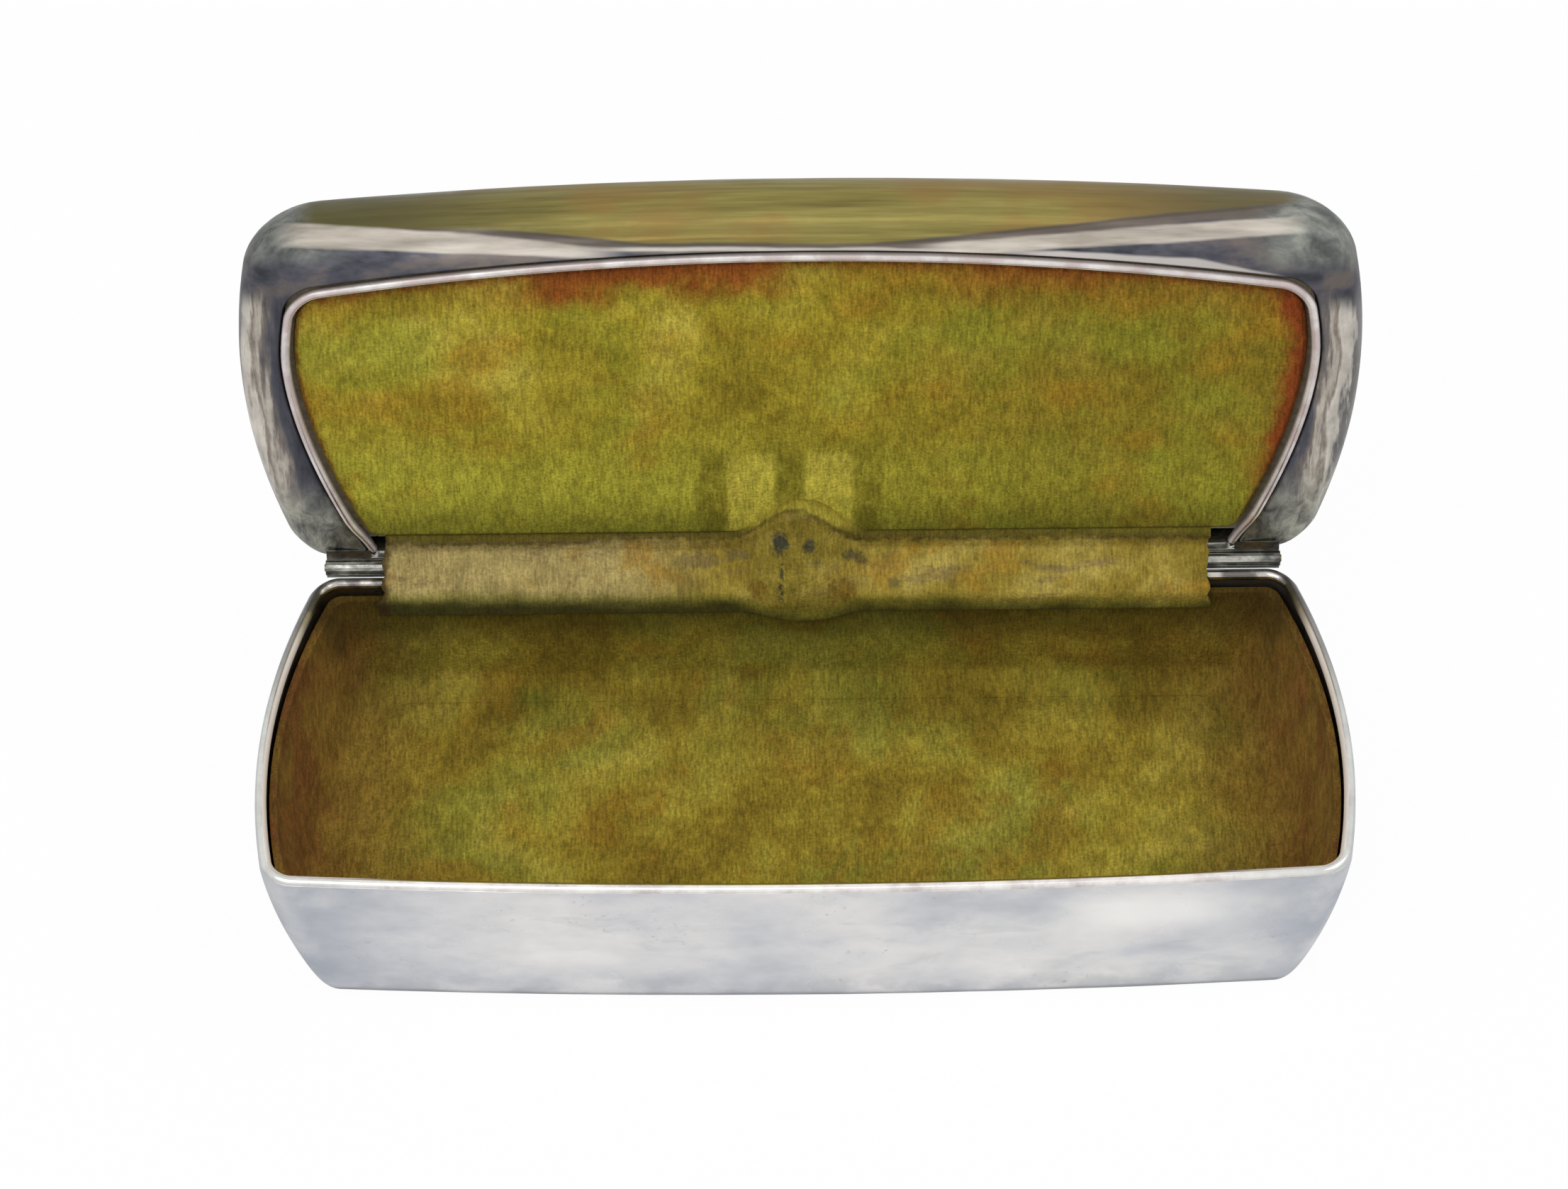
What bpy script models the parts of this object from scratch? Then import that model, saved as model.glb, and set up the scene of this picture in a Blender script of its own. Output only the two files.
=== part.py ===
"""Spring-hinged glasses case in silver plate with a velvet lining, standing open.

Frame: +Z up, X along the case, the hinge at the back (+Y), the mouth's front edge at -Y.
The origin is the middle of the flat bottom. The lid is modelled shut in its hinge's own
frame, where -Y points from the hinge to the front, and then turned open about the hinge.
"""

import math

import bmesh
import bpy
from mathutils import Matrix, Vector

OBJECT_NAME = "glasses_case"

# Gaps and facets
SEAT_GAP = 0.0003
CUT_OVERRUN = 0.001
EDGE_STEPS = 4
CORNER_STEPS = 5
SIDE_STEPS = 7
FRONT_STEPS = 6
CORNER_PULL_SHARE = 0.55

# Base shell: its mouth in plan, its height and how its walls lean in. The taper is how much
# shorter half the back is than half the widest line
BASE_HEIGHT = 0.0208
BASE_DEPTH = 0.0466
MOUTH_HALF_LENGTH = 0.0623
MOUTH_REAR_TAPER = 0.0060
MOUTH_WIDEST_SHARE = 0.64
MOUTH_FRONT_BOW = 0.0019
MOUTH_FRONT_CORNER = 0.0031
MOUTH_REAR_CORNER = 0.0026
INNER_CORNER = 0.0012
BASE_SIDE_POWER = 2.0
FLAT_FRONT_BOW = 0.0015
FLAT_CORNER = 0.0016
BASE_WALL = 0.0009
END_LEAN, END_BELLY, END_TURN = 0.0022, 0.0034, 0.0006
FRONT_LEAN, FRONT_BELLY, FRONT_TURN = 0.0001, 0.0002, 0.0008
REAR_LEAN, REAR_BELLY, REAR_TURN = 0.0001, 0.0005, 0.0008
TURN_POWER = 16
BASE_LEVEL_SHARES = (0.0, 0.2, 0.4, 0.6, 0.78, 0.9, 0.95, 0.985, 1.0)
RIM_WIRE_RADIUS = 0.00065

# Hinge
HINGE_RADIUS = 0.0009
HINGE_BORE_RADIUS = 0.0005
PIN_RADIUS = 0.00042
HINGE_SIDES = 16
HINGE_SETBACK = 0.00125
HINGE_END_INSET = 0.0007
KNUCKLE_COUNT = 7
KNUCKLE_GAP = 0.0003
LID_OPEN_DEGREES = 100.0

# Lid shell: its mouth, its rolled lip, its widest line and its crown
LID_HEIGHT = 0.0135
LID_WALL = 0.0008
LID_OVERHANG = 0.0017
LID_FRONT_OVERHANG = 0.0022
LID_REAR_OVERHANG = 0.0006
LID_REAR_END_OVERHANG = 0.0028
LID_SIDE_POWER = 2.4
LID_FRONT_BOW = 0.0030
LID_WIDEST_HEIGHT = 0.0045
LID_END_CROWN = 0.0220
LID_SIDE_CROWN = 0.0160
CROWN_POWER = 0.8
CROWN_ANGLE_SHARES = (0.0, 0.14, 0.3, 0.48, 0.66, 0.82, 0.93, 1.0)
LID_MOUTH_END_INSET = 0.0040
LID_MOUTH_REAR_TAPER = 0.0090
LID_MOUTH_FRONT_INSET = 0.00265
LID_MOUTH_WIDEST_SHARE = 0.68
LID_MOUTH_SIDE_POWER = 1.7
LID_MOUTH_BOW = 0.0050
LID_MOUTH_FRONT_CORNER = 0.0030
LID_MOUTH_REAR_CORNER = 0.0010
LID_MOUTH_DROP = 0.0008
LID_REAR_EDGE_HEIGHT = 0.0003
LID_DROP_START = 0.0027
LID_DROP_END = 0.0080
LIP_INSET = 0.0008
LIP_HEIGHT = 0.0008
LIP_MIDDLE_RISE_SHARE = 0.38
SHOULDER_OVERHANG = 0.0009
SHOULDER_HEIGHT = 0.0017
SHOULDER_REAR_OVERHANG = 0.00025
SHOULDER_SHARE = 0.5
LID_FRONT_CORNER = 0.0082
LID_REAR_CORNER = 0.0022
LID_CROWN_CORNER = 0.0070
BEAD_RADIUS = 0.00055
BEAD_REAR_HEIGHT = 0.00065
BEAD_START = 0.0024

# Base linings
WALL_VELVET = 0.0008
WALL_VELVET_LEVELS = 6
FLOOR_CARD = 0.0010
FLOOR_CARD_INSET = 0.0027
FLOOR_VELVET = 0.0011
FLOOR_CROWN = 0.0008

# Lid linings
LID_PANEL_SETBACK = 0.0052
LID_VELVET = 0.0015
LID_VELVET_CROWN = 0.0008
LID_VELVET_BACK_HEIGHT = 0.0012
LID_CARD = 0.0008
LID_CARD_INSET = 0.0024
WADDING_GAP = 0.0004
WADDING_INSET = 0.0013

# Pads: inset and height of their edge profile, from the back face to the crown
PAD_EDGE = 0.0006
PAD_CROWN_SPREAD = 0.0140
PAD_PROFILE_SHARES = (
    (0.6, 0.0, 0.0),
    (0.0, 0.35, 0.0),
    (0.2, 0.8, 0.0),
    (1.5, 1.0, 0.15),
    (1.5, 1.0, 0.60),
    (1.5, 1.0, 1.0),
)
PAD_SPREAD_SHARES = (0.0, 0.0, 0.0, 0.0, 0.35, 1.0)

# Spring: the fold's heights and depths are told from the hinge's axis
SPRING_HALF_WIDTH = 0.0022
SPRING_THICKNESS = 0.0004
SPRING_REACH = 0.0030
SPRING_DROP = 0.0044
SPRING_RISE = 0.0066
SPRING_TOP = -0.0004
SPRING_STEPS = 14
FOLD_START_SHARE = 0.25
SOCKET_HALF_WIDTH = 0.0035
SOCKET_HEIGHT = 0.0028
SOCKET_WALL = 0.0005
SLOT_HALF_WIDTH = 0.0039
SLOT_DEPTH = 0.0048
LUG_HALF_WIDTH = 0.0024
LUG_REACH = 0.0046
LUG_NOSE_START = 0.0032
LUG_NOSE_DROP = 0.0010
LUG_ROOT_LOW = 0.0007
LUG_ROOT_HIGH = 0.0020

# Gusset: the cloth strip over the hinge, with its hump over the spring
GUSSET_END_INSET = 0.0082
GUSSET_THICKNESS = 0.0006
GUSSET_COLUMNS = 36
GUSSET_ROWS = 12
GUSSET_MIDDLE_SHARE = 0.25
GUSSET_DROP, HUMP_DROP = 0.0034, 0.0045
GUSSET_RISE, HUMP_RISE = 0.0045, 0.0098
GUSSET_REACH, HUMP_REACH = 0.00425, 0.00485
GUSSET_TOP, HUMP_TOP = 0.0002, -0.0009
GUSSET_END_SHARE, HUMP_END_SHARE = 0.8, 1.0
HUMP_HALF_WIDTH = 0.0082
HUMP_POWER = 2.2

SILVER = (0.78, 0.77, 0.75, 1.0)
BRIGHT_SILVER = (0.86, 0.84, 0.84, 1.0)
STEEL = (0.42, 0.41, 0.40, 1.0)
BRASS = (0.62, 0.47, 0.22, 1.0)
OLIVE_VELVET = (0.25, 0.21, 0.035, 1.0)
FLOOR_OLIVE = (0.16, 0.13, 0.03, 1.0)
WALL_BROWN = (0.10, 0.05, 0.02, 1.0)
GUSSET_YELLOW = (0.32, 0.23, 0.05, 1.0)
CARD_GREY = (0.45, 0.38, 0.28, 1.0)
WADDING_WHITE = (0.70, 0.67, 0.60, 1.0)


def blend(a, b, share):
    return a + (b - a) * share


def smooth_step(share):
    share = min(1.0, max(0.0, share))
    return share * share * (3 - 2 * share)


def base_inset(share, lean, belly, turn):
    """How far a base wall stands in from the mouth, at a share of the height below it."""
    rounded = 1.0 - math.sqrt(max(0.0, 1.0 - share**TURN_POWER))
    return lean * share + belly * share**2 + turn * rounded


FLAT_FRONT_INSET = FRONT_LEAN + FRONT_BELLY + FRONT_TURN
FLAT_REAR_INSET = REAR_LEAN + REAR_BELLY + REAR_TURN
REAR_Y = BASE_DEPTH / 2 + (FLAT_REAR_INSET - FLAT_FRONT_INSET) / 2
FRONT_Y = REAR_Y - BASE_DEPTH
HINGE_Y = REAR_Y + HINGE_SETBACK
MOUTH_REAR_HALF_LENGTH = MOUTH_HALF_LENGTH - MOUTH_REAR_TAPER
HINGE_HALF_LENGTH = MOUTH_REAR_HALF_LENGTH - HINGE_END_INSET
GUSSET_HALF_LENGTH = MOUTH_REAR_HALF_LENGTH - GUSSET_END_INSET
LID_MOUTH_HALF_LENGTH = MOUTH_HALF_LENGTH - LID_MOUTH_END_INSET
LID_MOUTH_REAR_HALF_LENGTH = LID_MOUTH_HALF_LENGTH - LID_MOUTH_REAR_TAPER
LID_MOUTH_DEPTH = BASE_DEPTH + HINGE_SETBACK - LID_MOUTH_FRONT_INSET
WALL_TOP = BASE_HEIGHT - 2 * RIM_WIRE_RADIUS - SEAT_GAP


def corner_arc(start, corner, end):
    """Points of a rounded corner, as a cubic curve that leaves both sides along them."""
    first = start.lerp(corner, CORNER_PULL_SHARE)
    second = end.lerp(corner, CORNER_PULL_SHARE)
    points = []
    for i in range(CORNER_STEPS + 1):
        t = i / CORNER_STEPS
        near_start = start * (1 - t) ** 3 + first * (3 * t * (1 - t) ** 2)
        near_end = second * (3 * t**2 * (1 - t)) + end * t**3
        points.append(near_start + near_end)
    return points


def plan_outline(halves, ends, wide_share, power, bow, rounds):
    """Half an outline in plan, from the middle of the back to the middle of the front.

    The ends bulge from one half-length at the back to the other at the widest share of
    the depth, and the front edge bows out. The rounds are the back's and the front's.
    """
    rear_half, wide_half = halves
    rear, front = ends
    rear_round, front_round = rounds
    wide = blend(rear, front, wide_share)

    def side(y):
        return wide_half - (wide_half - rear_half) * abs((y - wide) / (rear - wide)) ** power

    corner = Vector((side(front + bow), front + bow, 0.0))
    rear_start = Vector((side(rear) - rear_round, rear, 0.0))
    side_start = Vector((side(rear - rear_round), rear - rear_round, 0.0))
    side_end = Vector((side(corner.y + front_round), corner.y + front_round, 0.0))
    front_x = corner.x - front_round
    front_start = Vector((front_x, front + bow * (front_x / corner.x) ** 2, 0.0))

    points = [Vector((rear_start.x * i / EDGE_STEPS, rear, 0.0)) for i in range(EDGE_STEPS)]
    points += corner_arc(rear_start, Vector((side(rear), rear, 0.0)), side_start)
    for i in range(1, SIDE_STEPS):
        y = blend(side_start.y, side_end.y, i / SIDE_STEPS)
        points.append(Vector((side(y), y, 0.0)))
    points += corner_arc(side_end, corner, front_start)
    for i in range(1, FRONT_STEPS + 1):
        x = front_start.x * (1 - i / FRONT_STEPS)
        points.append(Vector((x, front + bow * (x / corner.x) ** 2, 0.0)))
    return points


def full_loop(half):
    """Mirrors half an outline into the whole loop, going round from the back's middle."""
    left = [Vector((-p.x, p.y, p.z)) for p in reversed(half[1:-1])]
    return half + left


def at_height(points, z):
    return [Vector((p.x, p.y, z)) for p in points]


def base_outline(share, inset):
    """The base's outline at a share of its height below the mouth, drawn in by inset."""
    end = base_inset(share, END_LEAN, END_BELLY, END_TURN) + inset
    front = base_inset(share, FRONT_LEAN, FRONT_BELLY, FRONT_TURN) + inset
    rear = base_inset(share, REAR_LEAN, REAR_BELLY, REAR_TURN) + inset
    rear_round = blend(MOUTH_REAR_CORNER, FLAT_CORNER, share) - inset
    front_round = blend(MOUTH_FRONT_CORNER, FLAT_CORNER, share) - inset
    half = plan_outline(
        (MOUTH_REAR_HALF_LENGTH - end, MOUTH_HALF_LENGTH - end),
        (REAR_Y - rear, FRONT_Y + front),
        MOUTH_WIDEST_SHARE,
        BASE_SIDE_POWER,
        blend(MOUTH_FRONT_BOW, FLAT_FRONT_BOW, share),
        (max(rear_round, INNER_CORNER), max(front_round, INNER_CORNER)),
    )
    return full_loop(half)


def base_share_at(z):
    """The share of the base's height below its mouth, for a height z above the table."""
    return 1 - z / WALL_TOP


def lid_outline(half_outs, depth_outs, bow, rounds):
    """A loop of the shut lid, set out from the base's mouth, in the hinge's frame.

    Both pairs are the back's and then the widest line's or the front's.
    """
    half = plan_outline(
        (MOUTH_REAR_HALF_LENGTH + half_outs[0], MOUTH_HALF_LENGTH + half_outs[1]),
        (depth_outs[0] - HINGE_SETBACK, FRONT_Y - HINGE_Y - depth_outs[1]),
        MOUTH_WIDEST_SHARE,
        LID_SIDE_POWER,
        bow,
        rounds,
    )
    return full_loop(half)


def lid_mouth_half(inset, rear):
    """Half the lid's mouth, drawn in by inset, in the hinge's frame."""
    wide = blend(-HINGE_SETBACK, -LID_MOUTH_DEPTH, LID_MOUTH_WIDEST_SHARE)
    reach = ((rear - wide) / (-HINGE_SETBACK - wide)) ** LID_MOUTH_SIDE_POWER
    front = inset - LID_MOUTH_DEPTH
    return plan_outline(
        (
            blend(LID_MOUTH_HALF_LENGTH, LID_MOUTH_REAR_HALF_LENGTH, reach) - inset,
            LID_MOUTH_HALF_LENGTH - inset,
        ),
        (rear, front),
        (rear - wide) / (rear - front),
        LID_MOUTH_SIDE_POWER,
        LID_MOUTH_BOW,
        (LID_MOUTH_REAR_CORNER, LID_MOUTH_FRONT_CORNER),
    )


def mouth_height(y, rear_height):
    """The lid's lip stands over the base at the back, and dips inside it further on."""
    share = smooth_step((-y - LID_DROP_START) / (LID_DROP_END - LID_DROP_START))
    return blend(rear_height, -LID_MOUTH_DROP, share)


def crown_section(angle_share, wall, height):
    """Inset shares and height of a crown section, on an oval that is squarer than round."""
    angle = math.pi / 2 * angle_share
    inset_share = 1 - math.cos(angle) ** CROWN_POWER
    if angle_share == 1.0:
        inset_share = 1.0
    z = LID_WIDEST_HEIGHT + (height - LID_WIDEST_HEIGHT) * math.sin(angle) ** CROWN_POWER
    rear_round = blend(LID_REAR_CORNER, LID_CROWN_CORNER, inset_share)
    front_round = blend(LID_FRONT_CORNER, LID_CROWN_CORNER, inset_share)
    end_in = wall + LID_END_CROWN * inset_share
    side_in = wall + LID_SIDE_CROWN * inset_share
    loop = lid_outline(
        (LID_REAR_END_OVERHANG - end_in, LID_OVERHANG - end_in),
        (LID_REAR_OVERHANG - side_in, LID_FRONT_OVERHANG - side_in),
        LID_FRONT_BOW,
        (rear_round, front_round),
    )
    return at_height(loop, z)


def material(name, colour, roughness, metallic):
    mat = bpy.data.materials.new(name)
    mat.use_nodes = True
    mat.diffuse_color = colour
    shader = mat.node_tree.nodes["Principled BSDF"]
    shader.inputs["Base Color"].default_value = colour
    shader.inputs["Roughness"].default_value = roughness
    shader.inputs["Metallic"].default_value = metallic
    return mat


def mesh_object(name, bm):
    """Turns a bmesh into an object, with all its faces pointing out."""
    bmesh.ops.recalc_face_normals(bm, faces=bm.faces)
    mesh = bpy.data.meshes.new(name)
    bm.to_mesh(mesh)
    bm.free()
    return bpy.data.objects.new(name, mesh)


def loft(name, loops, close_first, close_last):
    """A skin over closed loops of equal count, with flat faces on the chosen ends."""
    bm = bmesh.new()
    rings = [[bm.verts.new(p) for p in loop] for loop in loops]
    for low, high in zip(rings, rings[1:]):
        for i in range(len(low)):
            j = (i + 1) % len(low)
            bm.faces.new((low[i], low[j], high[j], high[i]))
    if close_first:
        bm.faces.new(rings[0])
    if close_last:
        bm.faces.new(rings[-1])
    return mesh_object(name, bm)


def thicken(obj, thickness, offset):
    """Gives a skin its wall: offset -1 puts it inside and 0 half to each side."""
    wall = obj.modifiers.new("wall", "SOLIDIFY")
    wall.thickness = thickness
    wall.offset = offset
    wall.use_quality_normals = True


def point_out(obj):
    """Turns an open skin's faces over where they look towards its own middle."""
    middle = sum((v.co for v in obj.data.vertices), Vector()) / len(obj.data.vertices)
    face = obj.data.polygons[0]
    if face.normal.dot(face.center - middle) < 0:
        obj.data.flip_normals()


def wire(name, points, radius, cyclic):
    """A round wire along a route of points."""
    curve = bpy.data.curves.new(name, "CURVE")
    curve.dimensions = "3D"
    curve.bevel_depth = radius
    curve.bevel_resolution = 2
    curve.use_fill_caps = not cyclic
    spline = curve.splines.new("POLY")
    spline.points.add(len(points) - 1)
    for point, place in zip(spline.points, points):
        point.co = (place.x, place.y, place.z, 1.0)
    spline.use_cyclic_u = cyclic
    return bpy.data.objects.new(name, curve)


def sheet(name, rows, thickness):
    """A sheet through a grid of points, with its thickness half to each side."""
    bm = bmesh.new()
    grid = [[bm.verts.new(p) for p in row] for row in rows]
    for low, high in zip(grid, grid[1:]):
        for i in range(len(low) - 1):
            bm.faces.new((low[i], low[i + 1], high[i + 1], high[i]))
    obj = mesh_object(name, bm)
    thicken(obj, thickness, 0.0)
    return obj


def box(name, low, high):
    bm = bmesh.new()
    size = Vector(high) - Vector(low)
    place = Matrix.Translation((Vector(low) + Vector(high)) / 2)
    bmesh.ops.create_cube(bm, size=1.0, matrix=place @ Matrix.Diagonal((*size, 1.0)))
    return mesh_object(name, bm)


def slab(name, outline, thickness):
    """A flat outline, with its thickness half to each side."""
    bm = bmesh.new()
    bm.faces.new([bm.verts.new(p) for p in outline])
    obj = mesh_object(name, bm)
    thicken(obj, thickness, 0.0)
    return obj


def base_shell():
    """The drawn tray: leaning ends, nearly upright front and back, rounded to a flat."""
    loops = []
    for share in BASE_LEVEL_SHARES:
        loops.append(at_height(base_outline(share, 0.0), WALL_TOP * (1 - share)))
    shell = loft("base_shell", loops, False, True)
    point_out(shell)
    thicken(shell, BASE_WALL, -1.0)
    return shell


def base_rim_wire():
    """The rounded edge on top of the tray's wall."""
    route = at_height(base_outline(0.0, BASE_WALL / 2), BASE_HEIGHT - RIM_WIRE_RADIUS)
    return wire("base_rim_wire", route, RIM_WIRE_RADIUS, True)


def round_bar(name, start, end, radius, solid):
    """A round bar or an open tube's skin along X, on the hinge's axis."""
    bm = bmesh.new()
    place = Matrix.Translation(((start + end) / 2, 0.0, 0.0))
    bmesh.ops.create_cone(
        bm,
        cap_ends=solid,
        segments=HINGE_SIDES,
        radius1=radius,
        radius2=radius,
        depth=end - start,
        matrix=place @ Matrix.Rotation(math.radians(90.0), 4, "Y"),
    )
    return mesh_object(name, bm)


def knuckle(name, start, end):
    """One hinge tube, bored for the pin."""
    tube = round_bar(name, start, end, HINGE_RADIUS, False)
    point_out(tube)
    thicken(tube, HINGE_RADIUS - HINGE_BORE_RADIUS, -1.0)
    return tube


def hinge_knuckles(first):
    """Every second hinge tube: the base's start at the first place, the lid's at the next."""
    pitch = 2 * HINGE_HALF_LENGTH / KNUCKLE_COUNT
    owner = "lid" if first else "base"
    tubes = []
    for i in range(first, KNUCKLE_COUNT, 2):
        start = pitch * i - HINGE_HALF_LENGTH + KNUCKLE_GAP / 2
        name = f"{owner}_knuckle_{len(tubes) + 1}"
        tubes.append(knuckle(name, start, start + pitch - KNUCKLE_GAP))
    return tubes


def hinge_pin():
    return round_bar("hinge_pin", -HINGE_HALF_LENGTH, HINGE_HALF_LENGTH, PIN_RADIUS, True)


def lid_shell():
    """The pillow-shaped cover: lip rolled in under its widest line, crown over it."""
    edge_gap = BEAD_RADIUS + SEAT_GAP
    mouth = full_loop(lid_mouth_half(-edge_gap, -HINGE_SETBACK))
    mouth = [Vector((p.x, p.y, mouth_height(p.y, LID_REAR_EDGE_HEIGHT))) for p in mouth]
    lip_outs = ((-LIP_INSET, -LIP_INSET), (0.0, -LIP_INSET))
    lip_rounds = (LID_MOUTH_REAR_CORNER, MOUTH_FRONT_CORNER)
    lip = at_height(lid_outline(*lip_outs, MOUTH_FRONT_BOW, lip_rounds), LIP_HEIGHT)
    middle = [a.lerp(b, 0.5) for a, b in zip(mouth, lip)]
    for p, a, b in zip(middle, mouth, lip):
        p.z = blend(a.z, b.z, LIP_MIDDLE_RISE_SHARE)
    shoulder = lid_outline(
        (SHOULDER_OVERHANG, SHOULDER_OVERHANG),
        (SHOULDER_REAR_OVERHANG, SHOULDER_OVERHANG),
        blend(MOUTH_FRONT_BOW, LID_FRONT_BOW, SHOULDER_SHARE),
        (
            blend(LID_MOUTH_REAR_CORNER, LID_REAR_CORNER, SHOULDER_SHARE),
            blend(MOUTH_FRONT_CORNER, LID_FRONT_CORNER, SHOULDER_SHARE),
        ),
    )
    loops = [mouth, middle, lip, at_height(shoulder, SHOULDER_HEIGHT)]
    loops += [crown_section(share, 0.0, LID_HEIGHT) for share in CROWN_ANGLE_SHARES]
    shell = loft("lid_shell", loops, False, True)
    if shell.data.polygons[-1].normal.z < 0:
        shell.data.flip_normals()
    thicken(shell, LID_WALL, -1.0)
    return shell


def lid_bead():
    """The bright wire round the lid's mouth, open at the hinge."""
    half = lid_mouth_half(0.0, LID_MOUTH_REAR_CORNER - BEAD_START)[EDGE_STEPS + CORNER_STEPS :]
    route = [Vector((-p.x, p.y, 0.0)) for p in half] + half[-2::-1]
    for p in route:
        p.z = mouth_height(p.y, BEAD_REAR_HEIGHT)
    return wire("lid_bead", route, BEAD_RADIUS, False)


def pad(name, outline_at, back, front, crown):
    """A pad with drawn-in sides from its flat back at one height to its crowned front."""
    loops = []
    for (edge, rise, lift), spread in zip(PAD_PROFILE_SHARES, PAD_SPREAD_SHARES):
        loop = outline_at(PAD_EDGE * edge + PAD_CROWN_SPREAD * spread)
        loops.append(at_height(loop, blend(back, front, rise) + crown * lift))
    return loft(name, loops, True, True)


def base_floor_card():
    low = BASE_WALL + SEAT_GAP
    outline = base_outline(base_share_at(low), FLOOR_CARD_INSET)
    return slab("base_floor_card", at_height(outline, low + FLOOR_CARD / 2), FLOOR_CARD)


def velvet_floor_height():
    return BASE_WALL + FLOOR_CARD + 2 * SEAT_GAP


def base_floor_velvet():
    back = velvet_floor_height()
    share = base_share_at(back)
    wall_gap = BASE_WALL + WALL_VELVET + 4 * SEAT_GAP
    return pad(
        "base_floor_velvet",
        lambda inset: base_outline(share, wall_gap + inset),
        back,
        back + FLOOR_VELVET,
        FLOOR_CROWN,
    )


def base_wall_velvet(cutters):
    """The lining of the tray's wall, with a slot at the back for the spring."""
    low = velvet_floor_height()
    high = WALL_TOP - SEAT_GAP
    loops = []
    for i in range(WALL_VELVET_LEVELS + 1):
        z = blend(high, low, i / WALL_VELVET_LEVELS)
        loops.append(at_height(base_outline(base_share_at(z), BASE_WALL + 2 * SEAT_GAP), z))
    lining = loft("base_wall_velvet", loops, False, False)
    point_out(lining)
    thicken(lining, WALL_VELVET, -1.0)
    slot = box(
        "spring_slot",
        (-SLOT_HALF_WIDTH, HINGE_Y - LUG_REACH - CUT_OVERRUN, BASE_HEIGHT - SLOT_DEPTH),
        (SLOT_HALF_WIDTH, REAR_Y, BASE_HEIGHT),
    )
    slot.hide_render = True
    slot.display_type = "WIRE"
    cutters.objects.link(slot)
    cut = lining.modifiers.new("slot", "BOOLEAN")
    cut.operation = "DIFFERENCE"
    cut.object = slot
    return lining


def lid_velvet():
    return pad(
        "lid_velvet",
        lambda inset: full_loop(
            lid_mouth_half(BEAD_RADIUS + SEAT_GAP + inset, -LID_PANEL_SETBACK - inset)
        ),
        LID_VELVET_BACK_HEIGHT,
        LID_VELVET_BACK_HEIGHT - LID_VELVET,
        -LID_VELVET_CROWN,
    )


def panel_outline():
    """The lid card's outline, clear of the shell's rolled lip."""
    half = plan_outline(
        (MOUTH_REAR_HALF_LENGTH - LID_CARD_INSET, MOUTH_HALF_LENGTH - LID_CARD_INSET),
        (-LID_PANEL_SETBACK, FRONT_Y - HINGE_Y + LID_CARD_INSET),
        MOUTH_WIDEST_SHARE,
        BASE_SIDE_POWER,
        MOUTH_FRONT_BOW,
        (MOUTH_REAR_CORNER, LID_FRONT_CORNER),
    )
    return full_loop(half)


def card_height():
    return LID_VELVET_BACK_HEIGHT + SEAT_GAP


def lid_card():
    return slab("lid_card", at_height(panel_outline(), card_height() + LID_CARD / 2), LID_CARD)


def lid_wadding():
    """The stuffing between the card and the shell's crown."""
    foot = card_height() + LID_CARD + SEAT_GAP
    clear = LID_WALL + WADDING_GAP
    sole = lid_outline(
        (-WADDING_INSET, -WADDING_INSET),
        (-clear, -WADDING_INSET),
        LID_FRONT_BOW,
        (LID_REAR_CORNER, LID_FRONT_CORNER),
    )
    loops = [at_height(sole, foot)]
    loops += [crown_section(share, clear, LID_HEIGHT - clear) for share in CROWN_ANGLE_SHARES]
    return loft("lid_wadding", loops, True, True)


def fold_point(share, drop, rise, reach, top, end_share):
    """A point of the fold over the hinge: up the back wall, then over towards the lid."""
    bend = smooth_step((share - FOLD_START_SHARE) / (end_share - FOLD_START_SHARE))
    return blend(-reach, top, bend), blend(-drop, rise, share)


def spring_leaf():
    """The flat spring, from its socket in the base over the hinge to the lid's lug."""
    rows = []
    for i in range(SPRING_STEPS + 1):
        share = i / SPRING_STEPS
        y, z = fold_point(share, SPRING_DROP, SPRING_RISE, SPRING_REACH, SPRING_TOP, 1.0)
        rows.append([Vector((x, y, z)) for x in (-SPRING_HALF_WIDTH, SPRING_HALF_WIDTH)])
    return sheet("spring_leaf", rows, SPRING_THICKNESS)


def spring_socket():
    """The strap on the back wall that holds the spring's foot."""
    wall_face = base_inset(SPRING_DROP / WALL_TOP, REAR_LEAN, REAR_BELLY, REAR_TURN)
    back = -HINGE_SETBACK - BASE_WALL - wall_face - SEAT_GAP
    gap = SPRING_THICKNESS / 2 + SEAT_GAP
    inside = -SPRING_REACH - gap
    half = SOCKET_HALF_WIDTH
    arm = SOCKET_HALF_WIDTH - SOCKET_WALL
    outline = (
        (-half, back), (-half, inside - SOCKET_WALL), (half, inside - SOCKET_WALL),
        (half, back), (arm, back), (arm, inside), (-arm, inside), (-arm, back),
    )
    middle = SOCKET_HEIGHT / 2 - SPRING_DROP
    return slab("spring_socket", [(x, y, middle) for x, y in outline], SOCKET_HEIGHT)


def lid_lug():
    """The nose on the lid's back wall that the spring bears on."""
    root = -HINGE_SETBACK - LID_WALL - SEAT_GAP
    outline = (
        (root, LUG_ROOT_LOW),
        (root, LUG_ROOT_HIGH),
        (-LUG_REACH, LUG_ROOT_HIGH),
        (-LUG_REACH, -LUG_NOSE_DROP),
        (-LUG_NOSE_START, -LUG_NOSE_DROP),
        (-LUG_NOSE_START, LUG_ROOT_LOW),
    )
    return slab("lid_lug", [(0.0, y, z) for y, z in outline], 2 * LUG_HALF_WIDTH)


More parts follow.
